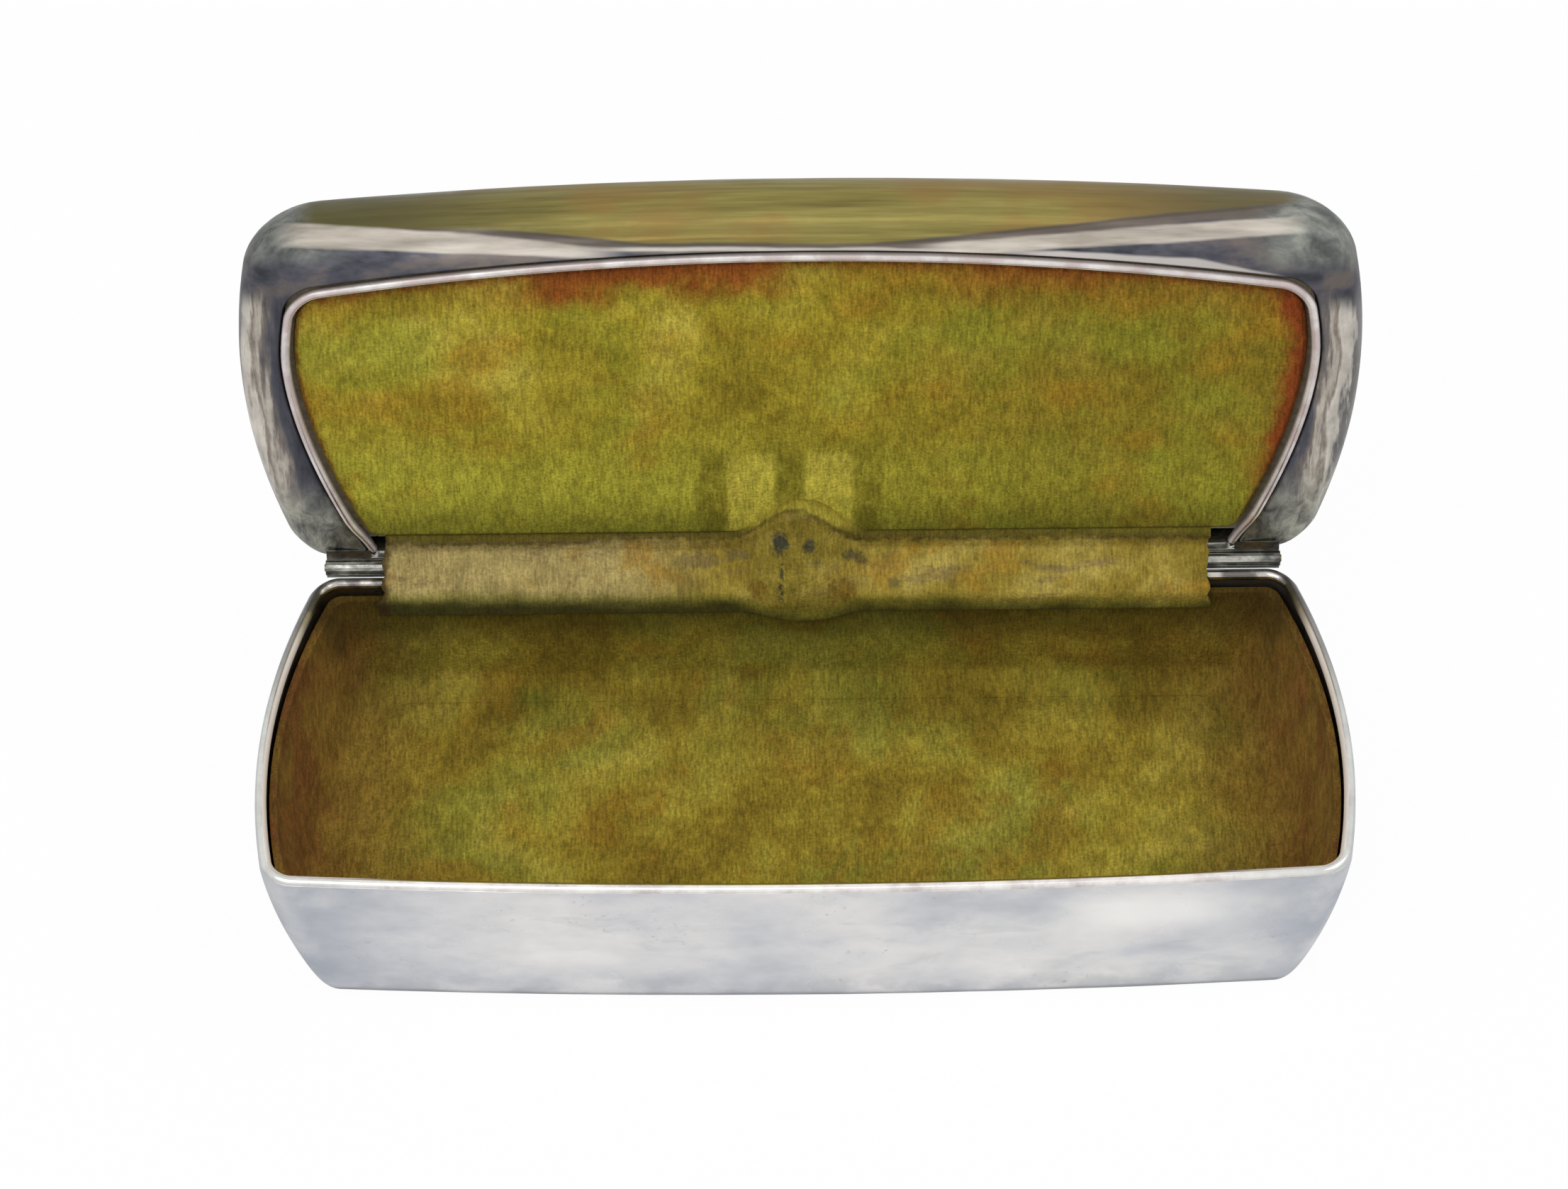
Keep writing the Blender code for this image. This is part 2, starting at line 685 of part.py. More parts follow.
def hinge_gusset():
    """The cloth strip over the hinge, humped over the spring."""
    columns = []
    for i in range(GUSSET_COLUMNS + 1):
        u = 2 * i / GUSSET_COLUMNS - 1
        columns.append(GUSSET_HALF_LENGTH * blend(u**3, u, GUSSET_MIDDLE_SHARE))
    rows = []
    for k in range(GUSSET_ROWS + 1):
        row = []
        for x in columns:
            hump = max(0.0, 1 - (x / HUMP_HALF_WIDTH) ** 2) ** HUMP_POWER
            y, z = fold_point(
                k / GUSSET_ROWS,
                blend(GUSSET_DROP, HUMP_DROP, hump),
                blend(GUSSET_RISE, HUMP_RISE, hump),
                blend(GUSSET_REACH, HUMP_REACH, hump),
                blend(GUSSET_TOP, HUMP_TOP, hump),
                blend(GUSSET_END_SHARE, HUMP_END_SHARE, hump),
            )
            row.append(Vector((x, y, z)))
        rows.append(row)
    return sheet("hinge_gusset", rows, GUSSET_THICKNESS)


def finish(obj, collection, mat, parent):
    """Puts a piece in the collection with its material, smooth where it is round."""
    collection.objects.link(obj)
    obj.data.materials.append(mat)
    if obj.type == "MESH":
        obj.data.shade_smooth()
        obj.data.set_sharp_from_angle(angle=math.radians(35.0))
    obj.parent = parent


def axis_empty(name, collection, turn):
    """An empty on the hinge's axis, turned about it."""
    empty = bpy.data.objects.new(name, None)
    empty.location = (0.0, HINGE_Y, BASE_HEIGHT)
    empty.rotation_euler = (turn, 0.0, 0.0)
    collection.objects.link(empty)
    return empty


def main():
    for old in list(bpy.data.objects):
        bpy.data.objects.remove(old, do_unlink=True)
    case = bpy.data.collections.new(OBJECT_NAME)
    cutters = bpy.data.collections.new("cutters")
    bpy.context.scene.collection.children.link(case)
    bpy.context.scene.collection.children.link(cutters)
    fixed_axis = axis_empty("hinge_axis", case, 0.0)
    lid_hinge = axis_empty("lid_hinge", case, -math.radians(LID_OPEN_DEGREES))

    silver = material("silver_plate", SILVER, 0.12, 1.0)
    bright = material("bright_silver", BRIGHT_SILVER, 0.08, 1.0)
    steel = material("spring_steel", STEEL, 0.30, 1.0)
    brass = material("pin_brass", BRASS, 0.28, 1.0)
    lid_cloth = material("olive_velvet", OLIVE_VELVET, 0.92, 0.0)
    floor_cloth = material("floor_velvet", FLOOR_OLIVE, 0.94, 0.0)
    wall_cloth = material("brown_velvet", WALL_BROWN, 0.95, 0.0)
    gusset_cloth = material("gusset_cloth", GUSSET_YELLOW, 0.90, 0.0)
    card = material("lining_card", CARD_GREY, 0.85, 0.0)
    wadding = material("cotton_wadding", WADDING_WHITE, 1.0, 0.0)

    finish(base_shell(), case, silver, None)
    finish(base_rim_wire(), case, bright, None)
    finish(base_floor_card(), case, card, None)
    finish(base_floor_velvet(), case, floor_cloth, None)
    finish(base_wall_velvet(cutters), case, wall_cloth, None)
    for tube in hinge_knuckles(0):
        finish(tube, case, bright, fixed_axis)
    finish(hinge_pin(), case, brass, fixed_axis)
    finish(spring_socket(), case, steel, fixed_axis)
    finish(spring_leaf(), case, steel, fixed_axis)
    finish(hinge_gusset(), case, gusset_cloth, fixed_axis)
    for tube in hinge_knuckles(1):
        finish(tube, case, bright, lid_hinge)
    finish(lid_shell(), case, silver, lid_hinge)
    finish(lid_bead(), case, bright, lid_hinge)
    finish(lid_lug(), case, steel, lid_hinge)
    finish(lid_velvet(), case, lid_cloth, lid_hinge)
    finish(lid_card(), case, card, lid_hinge)
    finish(lid_wadding(), case, wadding, lid_hinge)


main()
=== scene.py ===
"""Looks for the glasses case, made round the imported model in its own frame.

Metres, +Z up, X along the case, the hinge at the back. Lid pieces are made shut in the
hinge's frame, where -Y points from the hinge to the front, and then turned open.
"""

import math
from functools import cache, partialmethod, reduce

import bmesh
import bpy
from mathutils import Matrix, Vector, noise

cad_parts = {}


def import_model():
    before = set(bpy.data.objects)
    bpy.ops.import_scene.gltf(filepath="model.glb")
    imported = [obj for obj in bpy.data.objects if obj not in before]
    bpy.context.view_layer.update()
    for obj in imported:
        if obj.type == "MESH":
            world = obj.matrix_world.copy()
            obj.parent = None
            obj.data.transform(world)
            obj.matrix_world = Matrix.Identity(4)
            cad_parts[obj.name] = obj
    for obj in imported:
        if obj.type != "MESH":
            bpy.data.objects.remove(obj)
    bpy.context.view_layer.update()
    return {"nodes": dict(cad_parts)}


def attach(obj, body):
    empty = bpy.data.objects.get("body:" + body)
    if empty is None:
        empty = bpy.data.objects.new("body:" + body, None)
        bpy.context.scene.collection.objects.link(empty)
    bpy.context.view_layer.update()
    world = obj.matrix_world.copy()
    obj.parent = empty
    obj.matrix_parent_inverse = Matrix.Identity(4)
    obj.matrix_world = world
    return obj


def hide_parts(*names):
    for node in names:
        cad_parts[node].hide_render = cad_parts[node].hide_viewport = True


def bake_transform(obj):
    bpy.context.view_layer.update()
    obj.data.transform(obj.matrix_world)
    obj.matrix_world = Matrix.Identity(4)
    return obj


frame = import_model()
NODES = frame["nodes"]

# Camera: the photograph's, found by fitting the case's outlines
VIEW_ELEVATION = 50.0
VIEW_AZIMUTH = 0.35
VIEW_ROLL = -0.85
VIEW_DISTANCE = 0.750
VIEW_LENS = 154.6
VIEW_SENSOR = 36.0
VIEW_AIM = (-0.0021, 0.0008, 0.0436)

# Light: each lamp's place, its size and the level it gives a facing white surface
KEY_LIGHT = ((-0.45, -0.55, 0.95), 0.8, 0.30)
FILL_LIGHT = ((0.65, -0.10, 0.85), 0.7, 0.18)
SURROUND_LEVEL = 0.55
FLOOR_SIZE = 3.0
FLOOR_WHITE = 0.96
FLOOR_GLOW_SHARE = 0.96

# How much higher a point looks in the photograph for each millimetre of x, y and z
SEEN_UP = (0.0148, 0.766, 0.643)
BEAD_SEEN_UP = 34.1

# Facets of the outlines
EDGE_STEPS = 14
CORNER_STEPS = 12
SIDE_STEPS = 26
FRONT_STEPS = 26
CORNER_PULL_SHARE = 0.55

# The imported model's own sizes, repeated here because the script can't read its source
SEAT_GAP = 0.0003
BASE_HEIGHT = 0.0208
BASE_DEPTH = 0.0466
MOUTH_HALF_LENGTH = 0.0623
MOUTH_REAR_HALF_LENGTH = 0.0563
MOUTH_WIDEST_SHARE = 0.64
MOUTH_FRONT_BOW = 0.0019
MOUTH_FRONT_CORNER = 0.0031
MOUTH_REAR_CORNER = 0.0026
INNER_CORNER = 0.0012
BASE_SIDE_POWER = 2.0
FLAT_FRONT_BOW = 0.0015
FLAT_CORNER = 0.0016
BASE_WALL = 0.0009
TURN_POWER = 16
RIM_WIRE_RADIUS = 0.00065
HINGE_SETBACK = 0.00125
OPEN_ANGLE = math.radians(100.0)
LID_HEIGHT = 0.0135
LID_WALL = 0.0008
LID_OVERHANG = 0.0017
LID_FRONT_OVERHANG = 0.0022
LID_REAR_OVERHANG = 0.0006
LID_REAR_END_OVERHANG = 0.0028
LID_SIDE_POWER = 2.0
LID_WIDEST_SHARE = 0.55
LID_FRONT_BOW = 0.0030
LID_WIDEST_HEIGHT = 0.0045
LID_END_CROWN = 0.0220
LID_SIDE_CROWN = 0.0160
CROWN_POWER = 0.8
LID_MOUTH_HALF_LENGTH = 0.0583
LID_MOUTH_REAR_HALF_LENGTH = 0.0493
LID_MOUTH_DEPTH = 0.0452
LID_MOUTH_WIDEST_SHARE = 0.68
LID_MOUTH_SIDE_POWER = 1.7
LID_MOUTH_BOW = 0.0050
LID_MOUTH_FRONT_CORNER = 0.0030
LID_MOUTH_REAR_CORNER = 0.0010
LID_MOUTH_DROP = 0.0008
LID_REAR_EDGE_HEIGHT = 0.0003
LID_DROP_START = 0.0027
LID_DROP_END = 0.0080
LIP_INSET = 0.0008
LIP_HEIGHT = 0.0008
LIP_MIDDLE_RISE_SHARE = 0.38
SHOULDER_OVERHANG = 0.0009
SHOULDER_HEIGHT = 0.0017
SHOULDER_REAR_OVERHANG = 0.00025
SHOULDER_SHARE = 0.5
LID_FRONT_CORNER = 0.0060
LID_REAR_CORNER = 0.0022
LID_CROWN_CORNER = 0.0070
BEAD_RADIUS = 0.00055
BEAD_REAR_HEIGHT = 0.00065
BEAD_START = 0.0024
WALL_VELVET = 0.0008
FLOOR_CARD = 0.0010
FLOOR_VELVET = 0.0011
FLOOR_CROWN = 0.0008
LID_PANEL_SETBACK = 0.0052
LID_VELVET = 0.0015
LID_VELVET_CROWN = 0.0008
LID_VELVET_BACK_HEIGHT = 0.0012
LID_CARD = 0.0008
WADDING_GAP = 0.0004
WADDING_INSET = 0.0013
SLOT_HALF_WIDTH = 0.0039
SLOT_DEPTH = 0.0048
FOLD_START_SHARE = 0.25
SPRING_HALF_WIDTH = 0.0022
SPRING_THICKNESS = 0.0004
GUSSET_HALF_LENGTH = 0.0481
GUSSET_THICKNESS = 0.0006
HUMP_HALF_WIDTH = 0.0082
HUMP_POWER = 2.2

# How a wall of the tray draws in on its way down: its lean, belly and turn at the foot
END_SLOPE = (0.0022, 0.0034, 0.0006)
FRONT_SLOPE = (0.0001, 0.0002, 0.0008)
REAR_SLOPE = (0.0001, 0.0005, 0.0008)

# Folds over the hinge: drop, rise, reach, top and the share where the bend ends
SPRING_FOLD = (0.0044, 0.0066, 0.0030, -0.0004, 1.0)
CLOTH_FOLD = (0.0034, 0.0045, 0.00425, 0.0002, 0.8)
HUMP_FOLD = (0.0045, 0.0098, 0.00485, -0.0009, 1.0)

# Finer sizes that only the looks have
TRAY_LEVELS = 30
LIP_STEPS = 6
CROWN_STEPS = 26
CROWN_RINGS = 8
CROWN_DOME = 0.0004
WIRE_SIDES = 20
WIRE_END_STEPS = 5
WIRE_TIP_SHARE = 0.02
DENT_LENGTH = 0.011
DENT_DEPTH = 0.00003
NAP_LENGTH = 0.009
NAP_DEPTH = 0.00012
NAP_POWER = 6
PAD_RINGS = 26
FLOOR_PAD_ROUND = 0.0005
FLOOR_CROWN_POWER = 2.2
LID_PAD_ROUND = 0.0006
LID_CROWN_POWER = 2.4
CRUSHED_DEPTH = 0.00018
CRUSHED_SOFT = 0.0008
CRUSHED_SPANS = ((-0.0089, -0.0028), (0.0001, 0.0062))
CRUSHED_END = (0.0160, 0.0172)
LINING_LEVELS = 18
NOTCH_SLOPE = 0.0012
FILLET_STEPS = 12
FILLET_RADIUS = 0.0026
FILLET_LIFT = 0.0002
TOE_THICKNESS = 0.00012
WADDING_STEPS = 12
WADDING_RINGS = 4
SPRING_ROWS = 40
CLOTH_COLUMNS = 220
CLOTH_ROWS = 36
CLOTH_SLANT = 0.0013
CLOTH_SHORT = 0.0011
CLOTH_END_POWER = 24
FRAY_LENGTH = 0.0011
FRAY_DEPTH = 0.0005
PUCKER_LENGTH = 0.0032
PUCKER_DEPTH = 0.00022
PUCKER_STRETCH = 3
TUCK_STEPS = 6
CLOTH_TUCK, HUMP_TUCK = (0.0004, 0.0010), (0.0010, 0.0023)
LEAF_START, LEAF_END = 0.0050, 0.0553
LEAF_INNER, LEAF_OUTER = 0.00098, 0.00116
LEAF_COLUMNS, LEAF_STEPS = 60, 10
LEAF_WAVE_LENGTH, LEAF_WAVE_SHARE = 0.004, 0.03
TRAY_LEAF_DEGREES = (182.0, 262.0)
LID_LEAF_DEGREES = (175.0, 118.0)
CORNER_START, CORNER_REACH = 0.0501, 0.0024
CORNER_LOW, CORNER_HIGH = 0.00008, 0.00026
CORNER_DEGREES = 12.0
CREASE_SHARPNESS = 30.0

# Padded edges: how far each loop is drawn in, and its share of the thickness
FLOOR_PAD_EDGE = ((0.00036, 0.0), (0.0001, 0.15), (0.0, 0.4), (0.0001, 0.7))
LID_PAD_EDGE = ((0.00036, 0.0), (0.0001, 0.2), (0.0, 0.45), (0.00012, 0.75))

REAR_Y = BASE_DEPTH / 2 + (sum(REAR_SLOPE) - sum(FRONT_SLOPE)) / 2
FRONT_Y = REAR_Y - BASE_DEPTH
HINGE_Y = REAR_Y + HINGE_SETBACK
WALL_TOP = BASE_HEIGHT - 2 * RIM_WIRE_RADIUS - SEAT_GAP
AXIS = Vector((0.0, HINGE_Y, BASE_HEIGHT))
OPEN = Matrix.Translation(AXIS) @ Matrix.Rotation(-OPEN_ANGLE, 4, "X")


# Outlines


def blend(a, b, share):
    return a + (b - a) * share


def smooth_step(share):
    share = min(1.0, max(0.0, share))
    return share * share * (3 - 2 * share)


def ease(value, low, high):
    return smooth_step((value - low) / (high - low))


def corner_arc(start, corner, end):
    first = start.lerp(corner, CORNER_PULL_SHARE)
    second = end.lerp(corner, CORNER_PULL_SHARE)
    points = []
    for i in range(CORNER_STEPS + 1):
        t = i / CORNER_STEPS
        near_start = start * (1 - t) ** 3 + first * (3 * t * (1 - t) ** 2)
        near_end = second * (3 * t**2 * (1 - t)) + end * t**3
        points.append(near_start + near_end)
    return points


def plan_outline(halves, ends, wide_share, power, bow, rounds):
    """Half an outline in plan, from the middle of the back to the middle of the front."""
    rear_half, wide_half = halves
    rear, front = ends
    rear_round, front_round = rounds
    wide = blend(rear, front, wide_share)

    def on_side(y):
        x = wide_half - (wide_half - rear_half) * abs((y - wide) / (rear - wide)) ** power
        return Vector((x, y, 0.0))

    def on_front(x):
        return Vector((x, front + bow * (x / corner.x) ** 2, 0.0))

    corner = on_side(front + bow)
    rear_corner = on_side(rear)
    rear_start = Vector((rear_corner.x - rear_round, rear, 0.0))
    side_start = on_side(rear - rear_round)
    side_end = on_side(corner.y + front_round)
    front_start = on_front(corner.x - front_round)

    points = [Vector((rear_start.x * i / EDGE_STEPS, rear, 0.0)) for i in range(EDGE_STEPS)]
    points += corner_arc(rear_start, rear_corner, side_start)
    steps = [i / SIDE_STEPS for i in range(1, SIDE_STEPS)]
    points += [on_side(blend(side_start.y, side_end.y, step)) for step in steps]
    points += corner_arc(side_end, corner, front_start)
    steps = [1 - i / FRONT_STEPS for i in range(1, FRONT_STEPS + 1)]
    return points + [on_front(front_start.x * step) for step in steps]


def full_loop(half):
    return half + [Vector((-p.x, p.y, p.z)) for p in reversed(half[1:-1])]


def at_height(points, z):
    return [Vector((p.x, p.y, z)) for p in points]


def base_inset(share, lean, belly, turn):
    rounded = 1.0 - math.sqrt(max(0.0, 1.0 - share**TURN_POWER))
    return lean * share + belly * share**2 + turn * rounded


def base_outline(share, inset):
    """The tray's outline at a share of its height below the mouth, drawn in by inset."""
    slopes = (END_SLOPE, FRONT_SLOPE, REAR_SLOPE)
    end, front, rear = (base_inset(share, *slope) + inset for slope in slopes)
    rounds = [blend(r, FLAT_CORNER, share) for r in (MOUTH_REAR_CORNER, MOUTH_FRONT_CORNER)]
    half = plan_outline(
        (MOUTH_REAR_HALF_LENGTH - end, MOUTH_HALF_LENGTH - end),
        (REAR_Y - rear, FRONT_Y + front),
        MOUTH_WIDEST_SHARE,
        BASE_SIDE_POWER,
        blend(MOUTH_FRONT_BOW, FLAT_FRONT_BOW, share),
        [max(r - inset, INNER_CORNER) for r in rounds],
    )
    return full_loop(half)


@cache
def base_outline_at(z, inset):
    return base_outline(1 - z / WALL_TOP, inset)


def lid_outline(half_outs, depth_outs, bow, rounds):
    """A loop of the shut lid, set out from the tray's mouth, in the hinge's frame."""
    half = plan_outline(
        (MOUTH_REAR_HALF_LENGTH + half_outs[0], MOUTH_HALF_LENGTH + half_outs[1]),
        (depth_outs[0] - HINGE_SETBACK, FRONT_Y - HINGE_Y - depth_outs[1]),
        LID_WIDEST_SHARE,
        LID_SIDE_POWER,
        bow,
        rounds,
    )
    return full_loop(half)


def lid_mouth_half(inset, rear):
    wide = blend(-HINGE_SETBACK, -LID_MOUTH_DEPTH, LID_MOUTH_WIDEST_SHARE)
    reach = ((rear - wide) / (-HINGE_SETBACK - wide)) ** LID_MOUTH_SIDE_POWER
    rear_half = blend(LID_MOUTH_HALF_LENGTH, LID_MOUTH_REAR_HALF_LENGTH, reach)
    front = inset - LID_MOUTH_DEPTH
    return plan_outline(
        (rear_half - inset, LID_MOUTH_HALF_LENGTH - inset),
        (rear, front),
        (rear - wide) / (rear - front),
        LID_MOUTH_SIDE_POWER,
        LID_MOUTH_BOW,
        (LID_MOUTH_REAR_CORNER, LID_MOUTH_FRONT_CORNER),
    )


def mouth_height(y, rear_height):
    return blend(rear_height, -LID_MOUTH_DROP, ease(-y, LID_DROP_START, LID_DROP_END))


def crown_section(angle_share, wall, height):
    """A loop of the lid's crown, at a share of the quarter turn from its edge to its top."""
    angle = math.pi / 2 * angle_share
    inset_share = 1 - max(0.0, math.cos(angle)) ** CROWN_POWER
    z = LID_WIDEST_HEIGHT + (height - LID_WIDEST_HEIGHT) * math.sin(angle) ** CROWN_POWER
    rounds = [blend(r, LID_CROWN_CORNER, inset_share) for r in (LID_REAR_CORNER, LID_FRONT_CORNER)]
    end_in = wall + LID_END_CROWN * inset_share
    side_in = wall + LID_SIDE_CROWN * inset_share
    half_outs = (LID_REAR_END_OVERHANG - end_in, LID_OVERHANG - end_in)
    depth_outs = (LID_REAR_OVERHANG - side_in, LID_FRONT_OVERHANG - side_in)
    return at_height(lid_outline(half_outs, depth_outs, LID_FRONT_BOW, rounds), z)


# Meshes


def ripple(point, length, depth, seed):
    """A soft random rise or dip at a point, the same on every run."""
    place = point / length + Vector((seed, 2 * seed, 3 * seed))
    return depth * (noise.noise(place) + noise.noise(2 * place) / 2)


def mesh_object(name, bm):
    bmesh.ops.recalc_face_normals(bm, faces=bm.faces)
    mesh = bpy.data.meshes.new(name)
    bm.to_mesh(mesh)
    bm.free()
    obj = bpy.data.objects.new(name, mesh)
    bpy.context.scene.collection.objects.link(obj)
    return obj


def smooth(obj):
    obj.data.shade_smooth()
    obj.data.set_sharp_from_angle(angle=math.radians(CREASE_SHARPNESS))
    return obj


def turn_open(obj):
    obj.data.transform(OPEN)
    return obj


def thicken(obj, thickness, offset):
    wall = obj.modifiers.new("wall", "SOLIDIFY")
    wall.thickness = thickness
    wall.offset = offset
    wall.use_quality_normals = True


def dent(obj, seed):
    """Small hand-made unevenness of old sheet metal."""
    for v in obj.data.vertices:
        v.co += v.normal * ripple(v.co, DENT_LENGTH, DENT_DEPTH, seed)


def dress(obj, body, slot, mat, *nodes):
    """Rides the piece on its body and lets it stand for its nodes."""
    obj.data.materials.clear()
    obj.data.materials.append(mat)
    if body:
        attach(obj, body)
    if nodes:
        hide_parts(*nodes)


def add_faces(bm, rows, around=True):
    """Faces between each row of vertices and the next, also from a row's end to its start."""
    for low, high in zip(rows, rows[1:]):
        for i in range(len(low) if around else len(low) - 1):
            j = (i + 1) % len(low)
            bm.faces.new((low[i], low[j], high[j], high[i]))


def add_bar(bm, loops):
    """A skin over closed loops, with one flat face at each end."""
    rings = [[bm.verts.new(p) for p in loop] for loop in loops]
    add_faces(bm, rings)
    bm.faces.new(rings[0])
    bm.faces.new(rings[-1])


def loft(name, loops, capped=(0, -1), joined=False):
    """A skin over closed loops of equal count, capped at its ends or joined into a ring."""
    bm = bmesh.new()
    rings = [[bm.verts.new(p) for p in loop] for loop in loops]
    add_faces(bm, rings + rings[:1] if joined else rings)
    for end in capped:
        ring = rings[end]
        middle = bm.verts.new(sum((v.co for v in ring), Vector()) / len(ring))
        for i in range(len(ring)):
            bm.faces.new((ring[i], ring[(i + 1) % len(ring)], middle))
    return mesh_object(name, bm)


def tube(name, path, radius, closed):
    """A round wire along a path, its open ends rounded over.

    Each point is marked with how far inward it lies on the wire, from -1 to 1.
    """
    last = len(path) - 1
    stations = [(i, 1.0, 0.0) for i in range(last + 1)]
    if not closed:
        angles = [math.pi / 2 * i / WIRE_END_STEPS for i in range(1, WIRE_END_STEPS + 1)]
        cap = [(max(math.cos(a), WIRE_TIP_SHARE), math.sin(a)) for a in angles]
        stations = [(0, c, -s) for c, s in reversed(cap)] + stations
        stations += [(last, c, s) for c, s in cap]
    loops, inward = [], []
    for i, share, reach in stations:
        before = path[i - 1] if closed or i else path[i]
        after = path[(i + 1) % len(path)] if closed or i < last else path[i]
        along = (after - before).normalized()
        side = along.cross(Vector((0.0, 0.0, 1.0))).normalized()
        over = side.cross(along)
        middle = path[i] + along * (reach * radius)
        loop = []
        for k in range(WIRE_SIDES):
            angle = 2 * math.pi * k / WIRE_SIDES
            spoke = side * math.cos(angle) + over * math.sin(angle)
            loop.append(middle + spoke * (radius * share))
            inward.append(math.cos(angle))
        loops.append(loop)
    wire = loft(name, loops, () if closed else (0, -1), closed)
    mark = wire.data.attributes.new("inward", "FLOAT", "POINT")
    for spot, value in zip(mark.data, inward):
        spot.value = value
    wire.data.shade_smooth()
    return wire


def pad_rings(outline, height_at, rings):
    """Loops that shrink from an outline to its middle, each point at its own height."""
    middle = sum(outline, Vector()) / len(outline)
    loops = []
    for k in range(rings):
        share = 1 - k / rings
        loop = [middle.lerp(p, share) for p in outline]
        loops.append([Vector((p.x, p.y, height_at(p, share))) for p in loop])
    return loops


def nap(p, share, seed):
    """The uneven lie of a padded velvet, fading out towards its edge."""
    return ripple(Vector((p.x, p.y, 0.0)), NAP_LENGTH, NAP_DEPTH, seed) * (1 - share**NAP_POWER)


# Pieces of the tray


def tray_wall(inset, depth_share):
    """Loops down one face of the tray's wall, from its rim to a share of its depth."""
    loops = [at_height(base_outline(0.0, inset), BASE_HEIGHT - RIM_WIRE_RADIUS)]
    for i in range(TRAY_LEVELS + 1):
        share = math.sin(math.pi / 2 * i / TRAY_LEVELS) * depth_share
        loops.append(at_height(base_outline(share, inset), WALL_TOP * (1 - share)))
    return loops


def tray_shell():
    outside = tray_wall(0.0, 1.0)
    inside = tray_wall(BASE_WALL, 1 - BASE_WALL / WALL_TOP)
    shell = smooth(loft("tray_shell", outside[::-1] + inside))
    dent(shell, seed=3.0)
    return shell


def tray_rim():
    route = at_height(base_outline(0.0, RIM_WIRE_RADIUS), BASE_HEIGHT - RIM_WIRE_RADIUS)
    return tube("tray_rim", route, RIM_WIRE_RADIUS, True)


def tray_floor_pad():
    """The floor's velvet: rolled sides, a low crown and an uneven lie."""
    back = BASE_WALL + FLOOR_CARD + 2 * SEAT_GAP
    gap = BASE_WALL + WALL_VELVET + 4 * SEAT_GAP
    loops = []
    for inset, rise in FLOOR_PAD_EDGE:
        loops.append(at_height(base_outline_at(back, gap + inset), back + FLOOR_VELVET * rise))

    def height(p, share):
        crown = FLOOR_CROWN * (1 - share**FLOOR_CROWN_POWER)
        return back + FLOOR_VELVET + crown + nap(p, share, seed=5.0)

    loops += pad_rings(base_outline_at(back, gap + FLOOR_PAD_ROUND), height, PAD_RINGS)
    return smooth(loft("tray_floor_pad", loops))


def tray_wall_lining():
    """The velvet of the tray's wall, curved in at its foot over the edge of the floor's."""
    top = WALL_TOP - SEAT_GAP
    notch = BASE_HEIGHT - SLOT_DEPTH - SEAT_GAP
    foot = BASE_WALL + FLOOR_CARD + 2 * SEAT_GAP + FLOOR_VELVET + FILLET_LIFT
    outer = BASE_WALL + 2 * SEAT_GAP
    inner = outer + WALL_VELVET
    ring = base_outline_at(top, inner)
    slope_end = SLOT_HALF_WIDTH + NOTCH_SLOPE

    def loop(inset, height_at):
        points = []
        for i, p in enumerate(ring):
            local = top
            if p.y > 0 and abs(p.x) < slope_end:
                local = blend(notch, top, ease(abs(p.x), SLOT_HALF_WIDTH, slope_end))
            z = height_at(local)
            q = base_outline_at(z, inset)[i]
            points.append(Vector((q.x, q.y, z)))
        return points

    def upright(inset, share):
        return loop(inset, lambda local: blend(foot + FILLET_RADIUS, local, share))

    def curved(share, thickness):
        angle = math.pi / 2 * share
        radius = FILLET_RADIUS + thickness
        z = foot + FILLET_RADIUS - radius * math.sin(angle)
        return loop(inner + FILLET_RADIUS - radius * math.cos(angle), lambda local: z)

    back, front = [], []
    for i in range(FILLET_STEPS, 0, -1):
        share = i / FILLET_STEPS
        back.append(curved(share, blend(WALL_VELVET, TOE_THICKNESS, share)))
        front.append(curved(share, 0.0))
    for i in range(LINING_LEVELS + 1):
        back.append(upright(outer, i / LINING_LEVELS))
        front.append(upright(inner, i / LINING_LEVELS))
    return smooth(loft("tray_wall_lining", back + front[::-1], capped=(), joined=True))


# Pieces of the lid


def curve_through(rings):
    """Rings on a smooth curve through those of a list, up to the last but one."""
    loops = []
    for a, b, c, d in zip(rings[:1] + rings, rings, rings[1:], rings[2:]):
        for i in range(LIP_STEPS):
            t = i / LIP_STEPS
            loop = []
            for pa, pb, pc, pd in zip(a, b, c, d):
                point = pb * 2 + (pc - pa) * t + (pa * 2 - pb * 5 + pc * 4 - pd) * t**2
                point += (pb * 3 - pa - pc * 3 + pd) * t**3
                loop.append(point / 2)
            loops.append(loop)
    return loops


